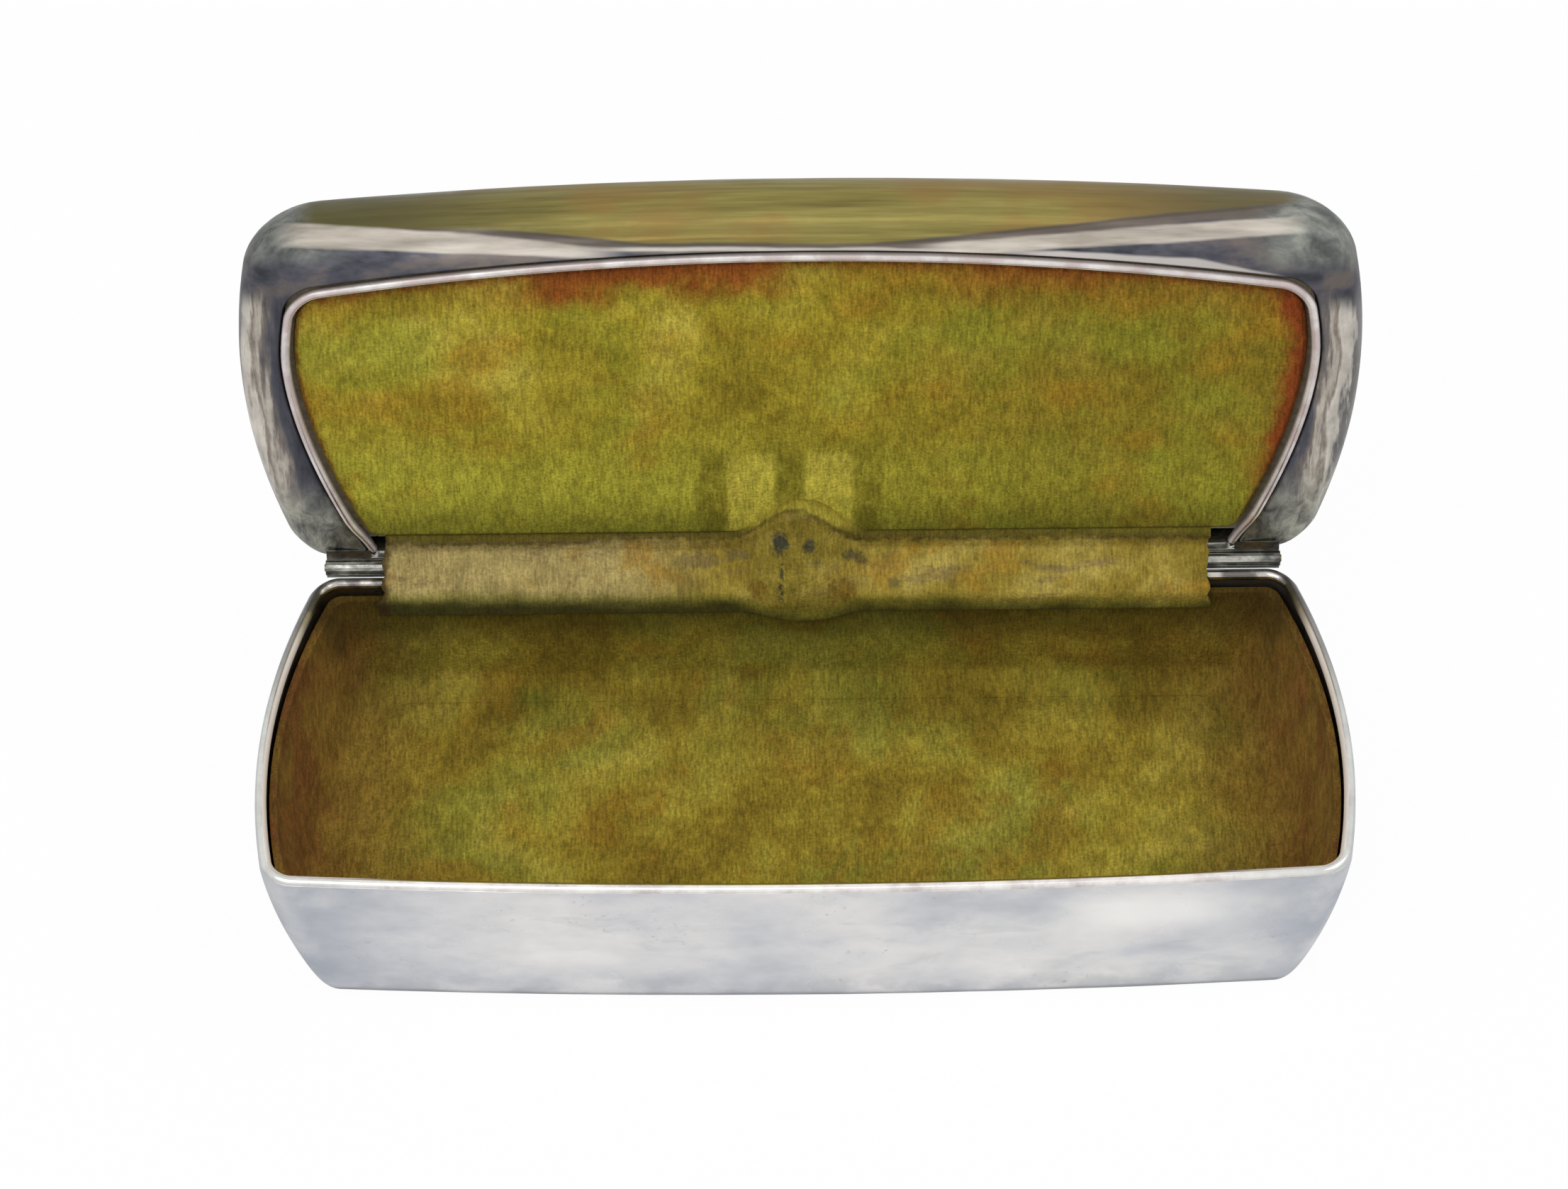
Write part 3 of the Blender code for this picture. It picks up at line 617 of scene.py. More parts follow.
def lid_cover():
    """The pillow-shaped cover, its lip rolled in to the bead."""
    mouth = full_loop(lid_mouth_half(-BEAD_RADIUS - SEAT_GAP, -HINGE_SETBACK))
    for p in mouth:
        p.z = mouth_height(p.y, LID_REAR_EDGE_HEIGHT)
    lip_outs = ((-LIP_INSET, -LIP_INSET), (0.0, -LIP_INSET))
    lip_rounds = (LID_MOUTH_REAR_CORNER, MOUTH_FRONT_CORNER)
    lip = at_height(lid_outline(*lip_outs, MOUTH_FRONT_BOW, lip_rounds), LIP_HEIGHT)
    middle = [a.lerp(b, 0.5) for a, b in zip(mouth, lip)]
    for p, a, b in zip(middle, mouth, lip):
        p.z = blend(a.z, b.z, LIP_MIDDLE_RISE_SHARE)
    outer_rounds = (LID_REAR_CORNER, LID_FRONT_CORNER)
    shoulder = lid_outline(
        (SHOULDER_OVERHANG, SHOULDER_OVERHANG),
        (SHOULDER_REAR_OVERHANG, SHOULDER_OVERHANG),
        blend(MOUTH_FRONT_BOW, LID_FRONT_BOW, SHOULDER_SHARE),
        [blend(a, b, SHOULDER_SHARE) for a, b in zip(lip_rounds, outer_rounds)],
    )
    crown = [crown_section(i / CROWN_STEPS, 0.0, LID_HEIGHT) for i in range(CROWN_STEPS + 1)]
    rings = [mouth, middle, lip, at_height(shoulder, SHOULDER_HEIGHT), crown[0], crown[3]]

    def height(p, share):
        return LID_HEIGHT + CROWN_DOME * (1 + math.cos(math.pi * share)) / 2

    loops = curve_through(rings) + crown + pad_rings(crown[-1], height, CROWN_RINGS)[1:]
    cover = loft("lid_cover", loops, capped=(-1,))
    dent(cover, seed=7.0)
    if cover.data.polygons[-1].normal.z < 0:
        cover.data.flip_normals()
    thicken(cover, LID_WALL, -1.0)
    return turn_open(smooth(cover))


def lid_bead():
    half = lid_mouth_half(0.0, LID_MOUTH_REAR_CORNER - BEAD_START)[EDGE_STEPS + CORNER_STEPS :]
    route = [Vector((-p.x, p.y, 0.0)) for p in half] + half[-2::-1]
    for p in route:
        p.z = mouth_height(p.y, BEAD_REAR_HEIGHT)
    return turn_open(tube("lid_rim_bead", route, BEAD_RADIUS, False))


def crushed(p):
    """How far a point of the lid's velvet lies in one of the two crushed marks."""
    marks = []
    for low, high in CRUSHED_SPANS:
        rise = ease(p.x, low, low + CRUSHED_SOFT)
        marks.append(rise * (1 - ease(p.x, high - CRUSHED_SOFT, high)))
    return max(marks) * (1 - ease(-p.y, *CRUSHED_END))


def lid_lining():
    """The lid's velvet panel, lightly stuffed, with two crushed marks by the hinge."""
    inset = BEAD_RADIUS + SEAT_GAP
    back = LID_VELVET_BACK_HEIGHT
    foot = LID_PANEL_SETBACK - LID_PAD_ROUND
    loops = []
    for draw, rise in LID_PAD_EDGE:
        loop = full_loop(lid_mouth_half(inset + draw, -foot - draw))
        loops.append(at_height(loop, back - LID_VELVET * rise))

    def height(p, share):
        crown = LID_VELVET_CROWN * (1 - share**LID_CROWN_POWER)
        crush = crushed(p) * CRUSHED_DEPTH
        return back - LID_VELVET - crown + crush + nap(p, share, seed=11.0)

    rim = full_loop(lid_mouth_half(inset + LID_PAD_ROUND, -LID_PANEL_SETBACK))
    loops += pad_rings(rim, height, PAD_RINGS)
    return turn_open(smooth(loft("lid_lining", loops)))


def lid_stuffing():
    """The cotton between the card and the cover."""
    foot = LID_VELVET_BACK_HEIGHT + LID_CARD + 2 * SEAT_GAP
    clear = LID_WALL + WADDING_GAP
    sole = lid_outline(
        (-WADDING_INSET, -WADDING_INSET),
        (-clear, -WADDING_INSET),
        LID_FRONT_BOW,
        (LID_REAR_CORNER, LID_FRONT_CORNER),
    )
    shares = [i / WADDING_STEPS for i in range(WADDING_STEPS + 1)]
    crown = [crown_section(share, clear, LID_HEIGHT - clear) for share in shares]
    loops = [at_height(sole, foot)] + crown
    loops += pad_rings(crown[-1], lambda p, share: crown[-1][0].z, WADDING_RINGS)[1:]
    stuffing = loft("lid_stuffing", loops)
    for v in stuffing.data.vertices:
        v.co -= v.normal * abs(ripple(v.co, NAP_LENGTH, NAP_DEPTH, seed=17.0))
    return turn_open(smooth(stuffing))


# Pieces over the hinge


def fold_point(share, drop, rise, reach, top, end_share):
    bend = smooth_step((share - FOLD_START_SHARE) / (end_share - FOLD_START_SHARE))
    return blend(-reach, top, bend), blend(-drop, rise, share)


def hinge_cloth():
    """The velvet strip over the hinge, humped over the spring and tucked in at its top."""
    bm = bmesh.new()
    grid = [[] for _ in range(CLOTH_ROWS + TUCK_STEPS + 2)]
    pairs = list(zip(CLOTH_FOLD + CLOTH_TUCK, HUMP_FOLD + HUMP_TUCK))
    for i in range(CLOTH_COLUMNS + 1):
        x = GUSSET_HALF_LENGTH * (2 * i / CLOTH_COLUMNS - 1)
        hump = max(0.0, 1 - (x / HUMP_HALF_WIDTH) ** 2) ** HUMP_POWER
        *fold, turn, tuck = (blend(plain, humped, hump) for plain, humped in pairs)
        drop, rise = fold[:2]
        last = 1 - turn / (drop + rise)
        path = []
        for k in range(CLOTH_ROWS + 1):
            y, z = fold_point(last * k / CLOTH_ROWS, *fold)
            held = math.sin(math.pi * k / CLOTH_ROWS)
            place = Vector((x, y / PUCKER_STRETCH, z / PUCKER_STRETCH))
            pucker = ripple(place, PUCKER_LENGTH, PUCKER_DEPTH, seed=23.0)
            path.append((y - max(0.0, pucker) * held, z))
        y, z = path[-1]
        for k in range(1, TUCK_STEPS + 1):
            angle = math.pi / 2 * k / TUCK_STEPS
            path.append((y + turn * (1 - math.cos(angle)), z + turn * math.sin(angle)))
        path.append((y + tuck, z + turn))
        far = (abs(x) / GUSSET_HALF_LENGTH) ** CLOTH_END_POWER
        for row, (y, z) in zip(grid, path):
            low = 1 - (z + drop) / (drop + rise)
            out = ripple(Vector((0.0, y, z)), FRAY_LENGTH, FRAY_DEPTH, seed=float(x > 0))
            out += CLOTH_SLANT * low if x < 0 else -CLOTH_SHORT
            place = x + out * math.copysign(far, x)
            row.append(bm.verts.new((place, HINGE_Y + y, BASE_HEIGHT + z)))
    add_faces(bm, grid, around=False)
    cloth = mesh_object("hinge_cloth", bm)
    thicken(cloth, GUSSET_THICKNESS, 0.0)
    return smooth(cloth)


def snap_spring():
    """The flat spring under the cloth, in its open shape."""
    bm = bmesh.new()
    rows = []
    for k in range(SPRING_ROWS + 1):
        y, z = fold_point(k / SPRING_ROWS, *SPRING_FOLD)
        ends = (-SPRING_HALF_WIDTH, SPRING_HALF_WIDTH)
        rows.append([bm.verts.new((x, HINGE_Y + y, BASE_HEIGHT + z)) for x in ends])
    add_faces(bm, rows, around=False)
    strip = mesh_object("snap_spring", bm)
    thicken(strip, SPRING_THICKNESS, 0.0)
    return smooth(strip)


def hinge_leaf(start_degrees, end_degrees):
    """Curved strips close round the barrel, one on each side of the spring."""
    bm = bmesh.new()
    shares = [k / LEAF_STEPS for k in range(LEAF_STEPS + 1)]
    turns = [math.radians(blend(start_degrees, end_degrees, share)) for share in shares]
    for side in (-1, 1):
        loops = []
        for i in range(LEAF_COLUMNS + 1):
            x = side * blend(LEAF_START, LEAF_END, i / LEAF_COLUMNS)
            place = Vector((x, 0.0, 0.0))
            wave = 1 + ripple(place, LEAF_WAVE_LENGTH, LEAF_WAVE_SHARE, seed=31.0)
            spots = [(LEAF_INNER, turn) for turn in turns]
            spots += [(LEAF_OUTER * wave, turn) for turn in reversed(turns)]
            loops.append([(x, r * math.cos(turn), r * math.sin(turn)) for r, turn in spots])
        add_bar(bm, loops)
    return bm


def tray_hinge_leaf():
    leaf = smooth(mesh_object("tray_hinge_leaf", hinge_leaf(*TRAY_LEAF_DEGREES)))
    leaf.data.transform(Matrix.Translation(AXIS))
    return leaf


def lid_hinge_leaf():
    """The lid's strips, with a flat corner piece at each end under the lid's edge."""
    bm = hinge_leaf(*LID_LEAF_DEGREES)
    near = -LEAF_OUTER * math.cos(math.radians(CORNER_DEGREES))
    section = [(near, CORNER_LOW), (-CORNER_REACH, CORNER_LOW)]
    section += [(-CORNER_REACH, CORNER_HIGH), (near, CORNER_HIGH)]
    for side in (-1, 1):
        ends = (side * CORNER_START, side * LEAF_END)
        add_bar(bm, [[(x, y, z) for y, z in section] for x in ends])
    return turn_open(smooth(mesh_object("lid_hinge_leaf", bm)))


# Materials


def srgb(red, green, blue):
    """A colour given in the usual 0 to 255 steps, as Blender's linear values."""

    def linear(step):
        value = step / 255
        return value / 12.92 if value <= 0.04045 else ((value + 0.055) / 1.055) ** 2.4

    return (linear(red), linear(green), linear(blue), 1.0)


def connect(tree, node, inputs):
    """Gives a node's inputs their links or their plain values."""
    for key, value in inputs.items():
        if isinstance(value, Value):
            value = value.socket
        if isinstance(value, bpy.types.NodeSocket):
            tree.links.new(value, node.inputs[key])
        else:
            node.inputs[key].default_value = value


def add_node(tree, kind, inputs, **settings):
    made = tree.nodes.new(kind)
    for key, value in settings.items():
        setattr(made, key, value)
    connect(tree, made, inputs)
    return made


class Value:
    """A node's output that adds, multiplies and so on like a plain number."""

    def __init__(self, tree, socket):
        self.tree = tree
        self.socket = socket

    def reckon(self, operation, *others):
        inputs = dict(enumerate((self, *others)))
        made = add_node(self.tree, "ShaderNodeMath", inputs, operation=operation)
        return Value(self.tree, made.outputs[0])

    __add__ = partialmethod(reckon, "ADD")
    __sub__ = partialmethod(reckon, "SUBTRACT")
    __mul__ = partialmethod(reckon, "MULTIPLY")
    __truediv__ = partialmethod(reckon, "DIVIDE")
    __pow__ = partialmethod(reckon, "POWER")
    __abs__ = partialmethod(reckon, "ABSOLUTE")
    __neg__ = partialmethod(reckon, "MULTIPLY", -1.0)
    most = partialmethod(reckon, "MAXIMUM")
    least = partialmethod(reckon, "MINIMUM")

    def __rsub__(self, other):
        return -self + other


class Paint:
    """A material's node tree, made with short calls, in millimetres of a piece's frame.

    Its colour is built up in layers: coat lays a colour over it, and shade darkens it.
    """

    def __init__(self, name, place=(0.0, 0.0, 0.0), turn=0.0):
        self.mat = bpy.data.materials.new(name)
        self.mat.use_nodes = True
        self.tree = self.mat.node_tree
        coord = self.node("ShaderNodeTexCoord", {})
        frame_of = {"Vector": coord.outputs["Object"], "Location": tuple(place)}
        frame_of |= {"Rotation": (turn, 0.0, 0.0), "Scale": (0.001, 0.001, 0.001)}
        self.space = self.node("ShaderNodeMapping", frame_of, vector_type="TEXTURE").outputs[0]
        split = self.node("ShaderNodeSeparateXYZ", {"Vector": self.space})
        self.x, self.y, self.z = (Value(self.tree, end) for end in split.outputs)
        self.colour = None

    def node(self, kind, inputs, **settings):
        return add_node(self.tree, kind, inputs, **settings)

    def stretched(self, shares):
        made = self.node("ShaderNodeVectorMath", {0: self.space, 1: shares}, operation="MULTIPLY")
        return made.outputs[0]

    def noise(self, length, detail=3.0, shares=None, rough=0.55, twist=0.0):
        """Random clouds about a length across, in millimetres, from 0 to 1."""
        space = self.stretched(shares) if shares else self.space
        inputs = {"Vector": space, "Scale": 1 / length, "Detail": detail}
        inputs |= {"Roughness": rough, "Distortion": twist}
        return Value(self.tree, self.node("ShaderNodeTexNoise", inputs).outputs[0])

    def stray(self, reach, *cloud, **settings):
        """Noise about zero, a reach from its lowest to its highest."""
        return self.noise(*cloud, **settings).reckon("MULTIPLY_ADD", reach, -reach / 2)

    def band(self, value, low, high, start=0.0, end=1.0):
        """Goes smoothly from start to end as the value goes from low to high."""
        inputs = {"Value": value, "From Min": low, "From Max": high, "To Min": start, "To Max": end}
        made = self.node("ShaderNodeMapRange", inputs, interpolation_type="SMOOTHSTEP")
        return Value(self.tree, made.outputs[0])

    def between(self, value, low, high, soft):
        fall = self.band(value, high - soft, high + soft, 1.0, 0.0)
        return self.band(value, low - soft, low + soft) * fall

    def mix(self, share, a, b):
        a, b = (srgb(*c) if isinstance(c, tuple) else c for c in (a, b))
        made = self.node("ShaderNodeMix", {0: share, 6: a, 7: b}, data_type="RGBA")
        return made.outputs[2]

    def coat(self, share, *colour):
        self.colour = self.mix(share, self.colour, colour)

    def shade(self, share, factor):
        inputs = {0: share, 6: self.colour, 7: (factor, factor, factor, 1.0)}
        made = self.node("ShaderNodeMix", inputs, data_type="RGBA", blend_type="MULTIPLY")
        self.colour = made.outputs[2]

    def tone(self, colour, value, spread):
        """Makes a colour lighter and darker by a spread as noise goes up and down."""
        inputs = {"Value": value, "From Min": 0.32, "From Max": 0.68}
        inputs |= {"To Min": 1 - spread, "To Max": 1 + spread}
        factor = self.node("ShaderNodeMapRange", inputs, clamp=True).outputs[0]
        made = self.node("ShaderNodeVectorMath", {0: colour, 3: factor}, operation="SCALE")
        return made.outputs[0]

    def ramp(self, value, *stops):
        """A colour that goes through stops, each a place and its red, green and blue."""
        made = self.node("ShaderNodeValToRGB", {0: value})
        elements = made.color_ramp.elements
        while len(elements) < len(stops):
            elements.new(0.5)
        for element, (place, *colour) in zip(elements, stops):
            element.position = place
            element.color = srgb(*colour)
        return made.outputs[0]

    def finish(self, height, depth, **values):
        """Adds relief, sets the shader's inputs and gives the material."""
        inputs = {"Height": height, "Strength": 1.0, "Distance": depth}
        relief = self.node("ShaderNodeBump", inputs).outputs[0]
        inputs = {key.replace("_", " "): value for key, value in values.items()}
        inputs |= {"Base Color": self.colour, "Normal": relief}
        connect(self.tree, self.tree.nodes["Principled BSDF"], inputs)
        return self.mat


def velvet(p, pile=0.26):
    """Adds the short pile to a cloth's colour: fine grain, ribs and a soft sheen."""
    grain = p.noise(0.32, 2.0)
    ribs = p.noise(0.42, 2.0, (1.5, 0.28, 0.28))
    lie = p.noise(2.4, 3.0, (1.3, 0.8, 0.8))
    for value, spread in ((grain, pile * 0.8), (ribs, pile), (lie, 0.16)):
        p.colour = p.tone(p.colour, value, spread)
    return p.finish(
        grain + ribs * 0.8 + lie * 1.5,
        0.00016,
        Roughness=0.95,
        Specular_IOR_Level=0.12,
        Sheen_Weight=0.08,
        Sheen_Roughness=0.45,
        Sheen_Tint=srgb(225, 215, 130),
    )


def seen_up(x, y, z):
    """How high a point looks in the photograph, a plain sum of the point's own place."""
    return z * SEEN_UP[2] + y * SEEN_UP[1] + x * SEEN_UP[0]


def bead_half_at(depth):
    """Half the width of the bead's outline at a depth from the hinge, in millimetres."""
    return 58.3 - abs((depth - 31.1) / 29.85) ** 1.7 * 9.0


def lid_velvet_material():
    """Yellow-olive velvet, greener in patches, rusty along the bead, crushed by the hinge, with
    painted shade along the bead and towards the crease.
    """
    p = Paint("lid_velvet_olive", AXIS, -OPEN_ANGLE)
    depth, wide = -p.y, abs(p.x)
    p.colour = p.ramp(
        p.noise(13.0, 4.0, rough=0.6, twist=0.4),
        (0.34, 136, 120, 34),
        (0.46, 156, 140, 42),
        (0.56, 168, 152, 50),
        (0.68, 188, 172, 68),
    )
    p.coat(p.band(p.x, 2.0, 34.0, 0.0, 0.7), 124, 106, 31)
    p.coat(p.band(p.noise(17.0, 3.0, (1.0, 1.3, 1.0)), 0.48, 0.66, 0.0, 0.55), 136, 140, 42)
    p.coat(p.band(depth, 24.0, 10.0) * p.band(p.x, 28.0, -12.0, 0.45, 0.9), 172, 168, 58)
    p.coat(p.band(p.noise(10.0, 3.0, (0.7, 1.0, 1.0)), 0.52, 0.68, 0.0, 0.6), 160, 122, 36)

    joined = p.between(p.x, -8.6, 5.9, 0.4) * p.between(depth, 4.0, 10.6, 0.5)
    pair = p.between(p.x, -8.6, -3.2, 0.35).most(p.between(p.x, 0.5, 5.9, 0.35))
    marks = joined.most(pair * p.between(depth, 4.0, 17.0, 0.6))
    p.coat(marks * p.band(p.noise(1.6, 3.0), 0.30, 0.60, 0.5, 0.95), 194, 180, 70)
    beside = p.between(p.x, -12.0, -8.9, 0.9).most(p.between(p.x, -2.9, 0.2, 0.5))
    beside = beside.most(p.between(p.x, 6.1, 9.0, 0.8)) * p.between(depth, 4.5, 17.5, 1.8)
    p.coat(beside * p.band(p.noise(3.0, 4.0), 0.34, 0.58, 0.3, 0.75), 116, 104, 30)

    from_top = LID_MOUTH_DEPTH * 1000 - 0.2 - (depth + wide**2.0 * 0.00165)
    wander = p.noise(6.0, 4.0, rough=0.65) * 9.0
    rust_x = p.between(p.x, -32.0, -1.0, 5.0).most(p.between(p.x, 16.0, 36.0, 6.0) * 0.75)
    p.coat(p.band(from_top - wander, 2.2, -2.6) * rust_x.most(0.3) * 0.95, 140, 74, 28)
    from_side = bead_half_at(depth) - wide
    right = p.band(p.x, 30.0, 46.0) * p.band(depth, 9.0, 16.0) * 0.92
    p.coat(p.band(from_side + p.stray(-7.0, 5.0, 4.0), 5.2, 1.4) * right, 138, 58, 28)
    # Rust stain and painted shade: a rusty, dotted darkening along the bead's edge.
    fringe = p.band(from_side.least(from_top), 2.4, 0.9)
    p.coat(fringe * p.band(p.noise(1.5, 4.0), 0.34, 0.56, 0.2, 0.75), 122, 62, 28)

    # Painted shade: the velvet goes dark green towards the crease by the hinge, where the fold lies
    # in shadow.
    crease = depth + p.stray(1.6, 4.0, 3.0)
    p.coat(p.band(crease, 12.0, 5.0) * 0.65 * (1.0 - marks * 0.7), 96, 94, 28)
    p.shade(p.band(crease, 5.8, 4.2) * 0.6, 0.25)
    return velvet(p)


def tray_velvet_material(name, upright):
    """Olive velvet of the tray, brown towards its ends, with a few bits of lint, and painted shade
    towards the back and, on the wall, under the rim and the hinge cloth.
    """
    p = Paint(name)
    p.colour = p.ramp(
        p.noise(14.0, 4.0, rough=0.6, twist=0.3),
        (0.34, 128, 108, 36),
        (0.46, 150, 130, 44),
        (0.56, 164, 148, 54),
        (0.68, 180, 164, 68),
    )
    p.coat(p.band(p.noise(16.0, 3.0), 0.50, 0.64, 0.0, 0.55), 124, 128, 46)
    p.coat(p.band(p.noise(9.0, 3.0), 0.52, 0.66, 0.0, 0.5), 150, 112, 38)
    edge = abs(p.x) + p.stray(12.0, 7.0, 4.0)
    p.coat(p.band(edge, 38.0, 54.0, 0.0, 0.7), 136, 102, 46)
    # Painted shade: darker towards the back, where the lid and the hinge cloth shade the tray.
    p.shade(p.band(p.y + p.stray(4.0, 8.0, 3.0), 9.0, 19.0, 0.0, 0.5), 0.6)
    if upright:
        rust = p.band(edge, 50.0, 60.0) * p.band(p.noise(8.0, 4.0), 0.42, 0.60, 0.35, 1.0)
        p.coat(rust * 0.85, 126, 78, 42)
        # Painted shade: the wall's velvet darkens towards its top, under the rim.
        p.shade(p.band(p.z, 15.5, 18.6, 0.0, 0.5), 0.5)
        # Painted shadow: the back wall darkens just under the overhanging hinge cloth.
        under = p.band(p.z + p.stray(3.0, 5.0, 4.0), 9.5, 15.0)
        p.shade(under * p.band(p.y, 15.0, 19.0), 0.5)
        return velvet(p)
    lint = p.node("ShaderNodeTexVoronoi", {"Vector": p.stretched((0.35, 1.0, 1.0)), "Scale": 0.42})
    spot = p.band(lint.outputs["Distance"], 0.24, 0.10) * p.between(p.x, -12.0, 10.0, 2.0)
    spot = spot * p.between(p.y, -19.0, -11.5, 0.8) * p.band(p.noise(0.5, 2.0), 0.44, 0.56)
    p.coat(spot * 0.85, 225, 216, 170)
    return velvet(p, 0.28)


def gusset_material():
    """Ochre velvet ribbon, worn dark on the hump, with the lid's velvet above its crease, and
    painted shade in the crease and towards the foot.

    Its marks are placed by x and by how high they look over the axis, in millimetres.
    """
    p = Paint("gusset_velvet_ochre", AXIS)
    up = seen_up(p.x, p.y, p.z)
    p.colour = p.ramp(
        p.noise(6.0, 4.0, (0.6, 1.0, 1.0), rough=0.6),
        (0.34, 134, 114, 42),
        (0.50, 160, 140, 58),
        (0.66, 182, 162, 80),
    )
    p.coat(p.band(p.x, -8.0, -24.0, 0.0, 0.7), 180, 162, 110)
    scuffs = p.noise(4.0, 5.0, (0.35, 1.5, 1.5), rough=0.7)
    p.coat(p.band(scuffs, 0.54, 0.66, 0.0, 0.6), 128, 108, 78)
    p.coat(p.band(p.noise(5.0, 3.0, (0.7, 1.0, 1.0)), 0.54, 0.66, 0.0, 0.5), 166, 126, 42)
    p.coat(p.between(p.x, -6.5, 6.5, 1.5) * 0.4, 128, 116, 42)

    rusty = ((-5.3, -3.1, 1.3, 1.2, 0.6), (4.5, -3.1, 2.0, 1.6, 0.7))
    greyish = ((-12.0, 0.3, 3.2, 1.1, 0.5), (-7.6, 0.9, 1.8, 0.8, 0.5))
    dark = (
        (-2.7, 2.15, 1.25, 1.6, 0.9),
        (0.8, 1.85, 0.85, 1.0, 0.8),
        (5.6, 0.95, 1.25, 0.75, 0.65),
        (6.8, 0.35, 1.0, 0.6, 0.55),
        (10.5, -2.3, 0.9, 0.8, 0.5),
    )
    ragged = p.stray(3.0, 0.9, 4.0, rough=0.7)
    for places, *colour in ((rusty, 112, 82, 30), (greyish, 112, 98, 72), (dark, 56, 60, 56)):
        blots = []
        for x, high, half_x, half_high, share in places:
            away = abs((p.x - x) / half_x) ** 2.0 + abs((up - high) / half_high) ** 2.0
            blots.append(p.band(away + ragged, 1.1, 0.15, 0.0, share))
        p.coat(reduce(Value.most, blots), *colour)
    seam = p.between(p.x + p.stray(0.7, 1.4, 3.0), -2.8, -2.3, 0.16) * p.between(up, -4.6, 1.0, 0.3)
    p.coat(seam * p.band(p.noise(0.6, 3.0), 0.42, 0.54, 0.0, 0.85), 52, 54, 44)

    # Painted shade: the cloth goes dark green towards its foot, lower under the hump, where it
    # turns down into the shaded back wall.
    bulge = p.band(abs(p.x + 0.3), 2.5, 8.5, -1.6, 0.0)
    below = bulge - 3.9 - (up + p.stray(2.2, 3.2, 4.0, (0.6, 1.0, 1.0)))
    p.coat(p.band(below, -0.9, 0.6, 0.0, 0.7), 110, 108, 38)
    p.coat(p.band(below, 0.0, 1.7, 0.0, 0.9), 54, 54, 22)

    # Above the arch line the cloth is painted as the lid's velvet. Painted shade darkens the
    # crease: softly below the line, in a dark line along it, and dark green in the velvet just
    # above it.
    arch = p.band(abs(p.x + 0.9), 0.0, 7.6, 6.0, 2.9)
    arch = arch + p.band(p.x, -34.0, -14.0, -0.9, 0.0) + p.band(p.x, 10.0, 32.0, 0.0, 0.35)
    over = up + p.stray(1.4, 1.8, 4.0) - arch
    p.shade(p.band(over, -1.3, 0.0, 0.0, 0.35), 0.6)
    crushed_part = p.mix(p.between(p.x, -8.0, 6.0, 1.0), (120, 112, 40), (168, 154, 58))
    lid_velvet_and_crease_shade = p.mix(p.band(up, 3.2, 4.8), (98, 86, 31), crushed_part)
    p.colour = p.mix(p.band(over, -0.5, 0.5), p.colour, lid_velvet_and_crease_shade)
    edge = p.between(over, -0.25, 0.25, 0.35) * p.band(p.noise(1.2, 3.0), 0.3, 0.6, 0.25, 0.8)
    p.coat(edge, 70, 60, 28)
    p.coat(p.band(abs(p.x) + p.stray(2.0, 1.6, 4.0), 47.5, 48.5, 0.0, 0.85), 64, 46, 26)
    return velvet(p, 0.22)


def finish_metal(p, depth, rough, metallic=1.0):
    """Adds fine scratches and softer handling marks, as in polished metal."""
    scratches = p.noise(0.3, 2.0, (0.04, 1.0, 1.0)) * 0.10
    scratches = scratches + p.noise(0.4, 2.0, (1.0, 0.05, 1.0)) * 0.06
    return p.finish(scratches + p.noise(3.5, 3.0), depth, Metallic=metallic, Roughness=rough)


def tray_silver_material():
    """Old silver, cloudy, with painted reflections bluer at the ends and towards the foot, painted
    shade on the turn at the foot, a painted highlight high on the right, and a few brown freckles.
    """
    p = Paint("tray_silver")
    clouds = p.noise(16.0, 4.0, (0.8, 1.0, 1.5), rough=0.6)
    p.colour = p.ramp(
        clouds,
        (0.32, 192, 195, 201),
        (0.48, 218, 218, 220),
        (0.62, 233, 231, 229),
        (0.74, 244, 243, 240),
    )
    # Painted reflections: bluer at the ends, where the wall turns away, and darker and bluer
    # towards the foot.
    bluer_reflection_ends = p.band(abs(p.x), 42.0, 62.0, 0.0, 0.75)
    p.coat(bluer_reflection_ends * p.band(p.noise(7.0, 4.0), 0.34, 0.60, 0.35, 1.0), 158, 167, 180)
    smears = p.band(p.noise(5.0, 4.0, (0.5, 1.0, 1.4), rough=0.65, twist=0.5), 0.54, 0.66)
    p.coat(smears * p.band(p.noise(20.0, 2.0), 0.42, 0.6) * 0.22, 172, 178, 186)
    low = p.band(p.z, 7.0, 1.5, 0.0, 0.5) * p.band(p.noise(6.0, 4.0), 0.4, 0.6)
    p.coat(low, 176, 180, 186)
    freckles = p.band(p.noise(0.9, 4.0, rough=0.7), 0.58, 0.70, 0.0, 0.6)
    p.coat(freckles * p.band(p.noise(11.0, 3.0), 0.52, 0.66), 140, 136, 126)
    # Painted highlight: a bright patch high on the right of the wall.
    bright = p.between(p.x, 31.0, 47.0, 5.0) * p.between(p.z, 12.5, 18.0, 2.0)
    p.coat(bright * 0.8, 250, 249, 246)
    # Painted shade: darker still on the turn at the foot.
    p.coat(p.band(p.z + p.stray(0.8, 9.0, 3.0), 1.4, 0.5, 0.0, 0.75), 148, 150, 154)
    return finish_metal(p, 0.00005, p.band(clouds, 0.3, 0.7, 0.34, 0.22))


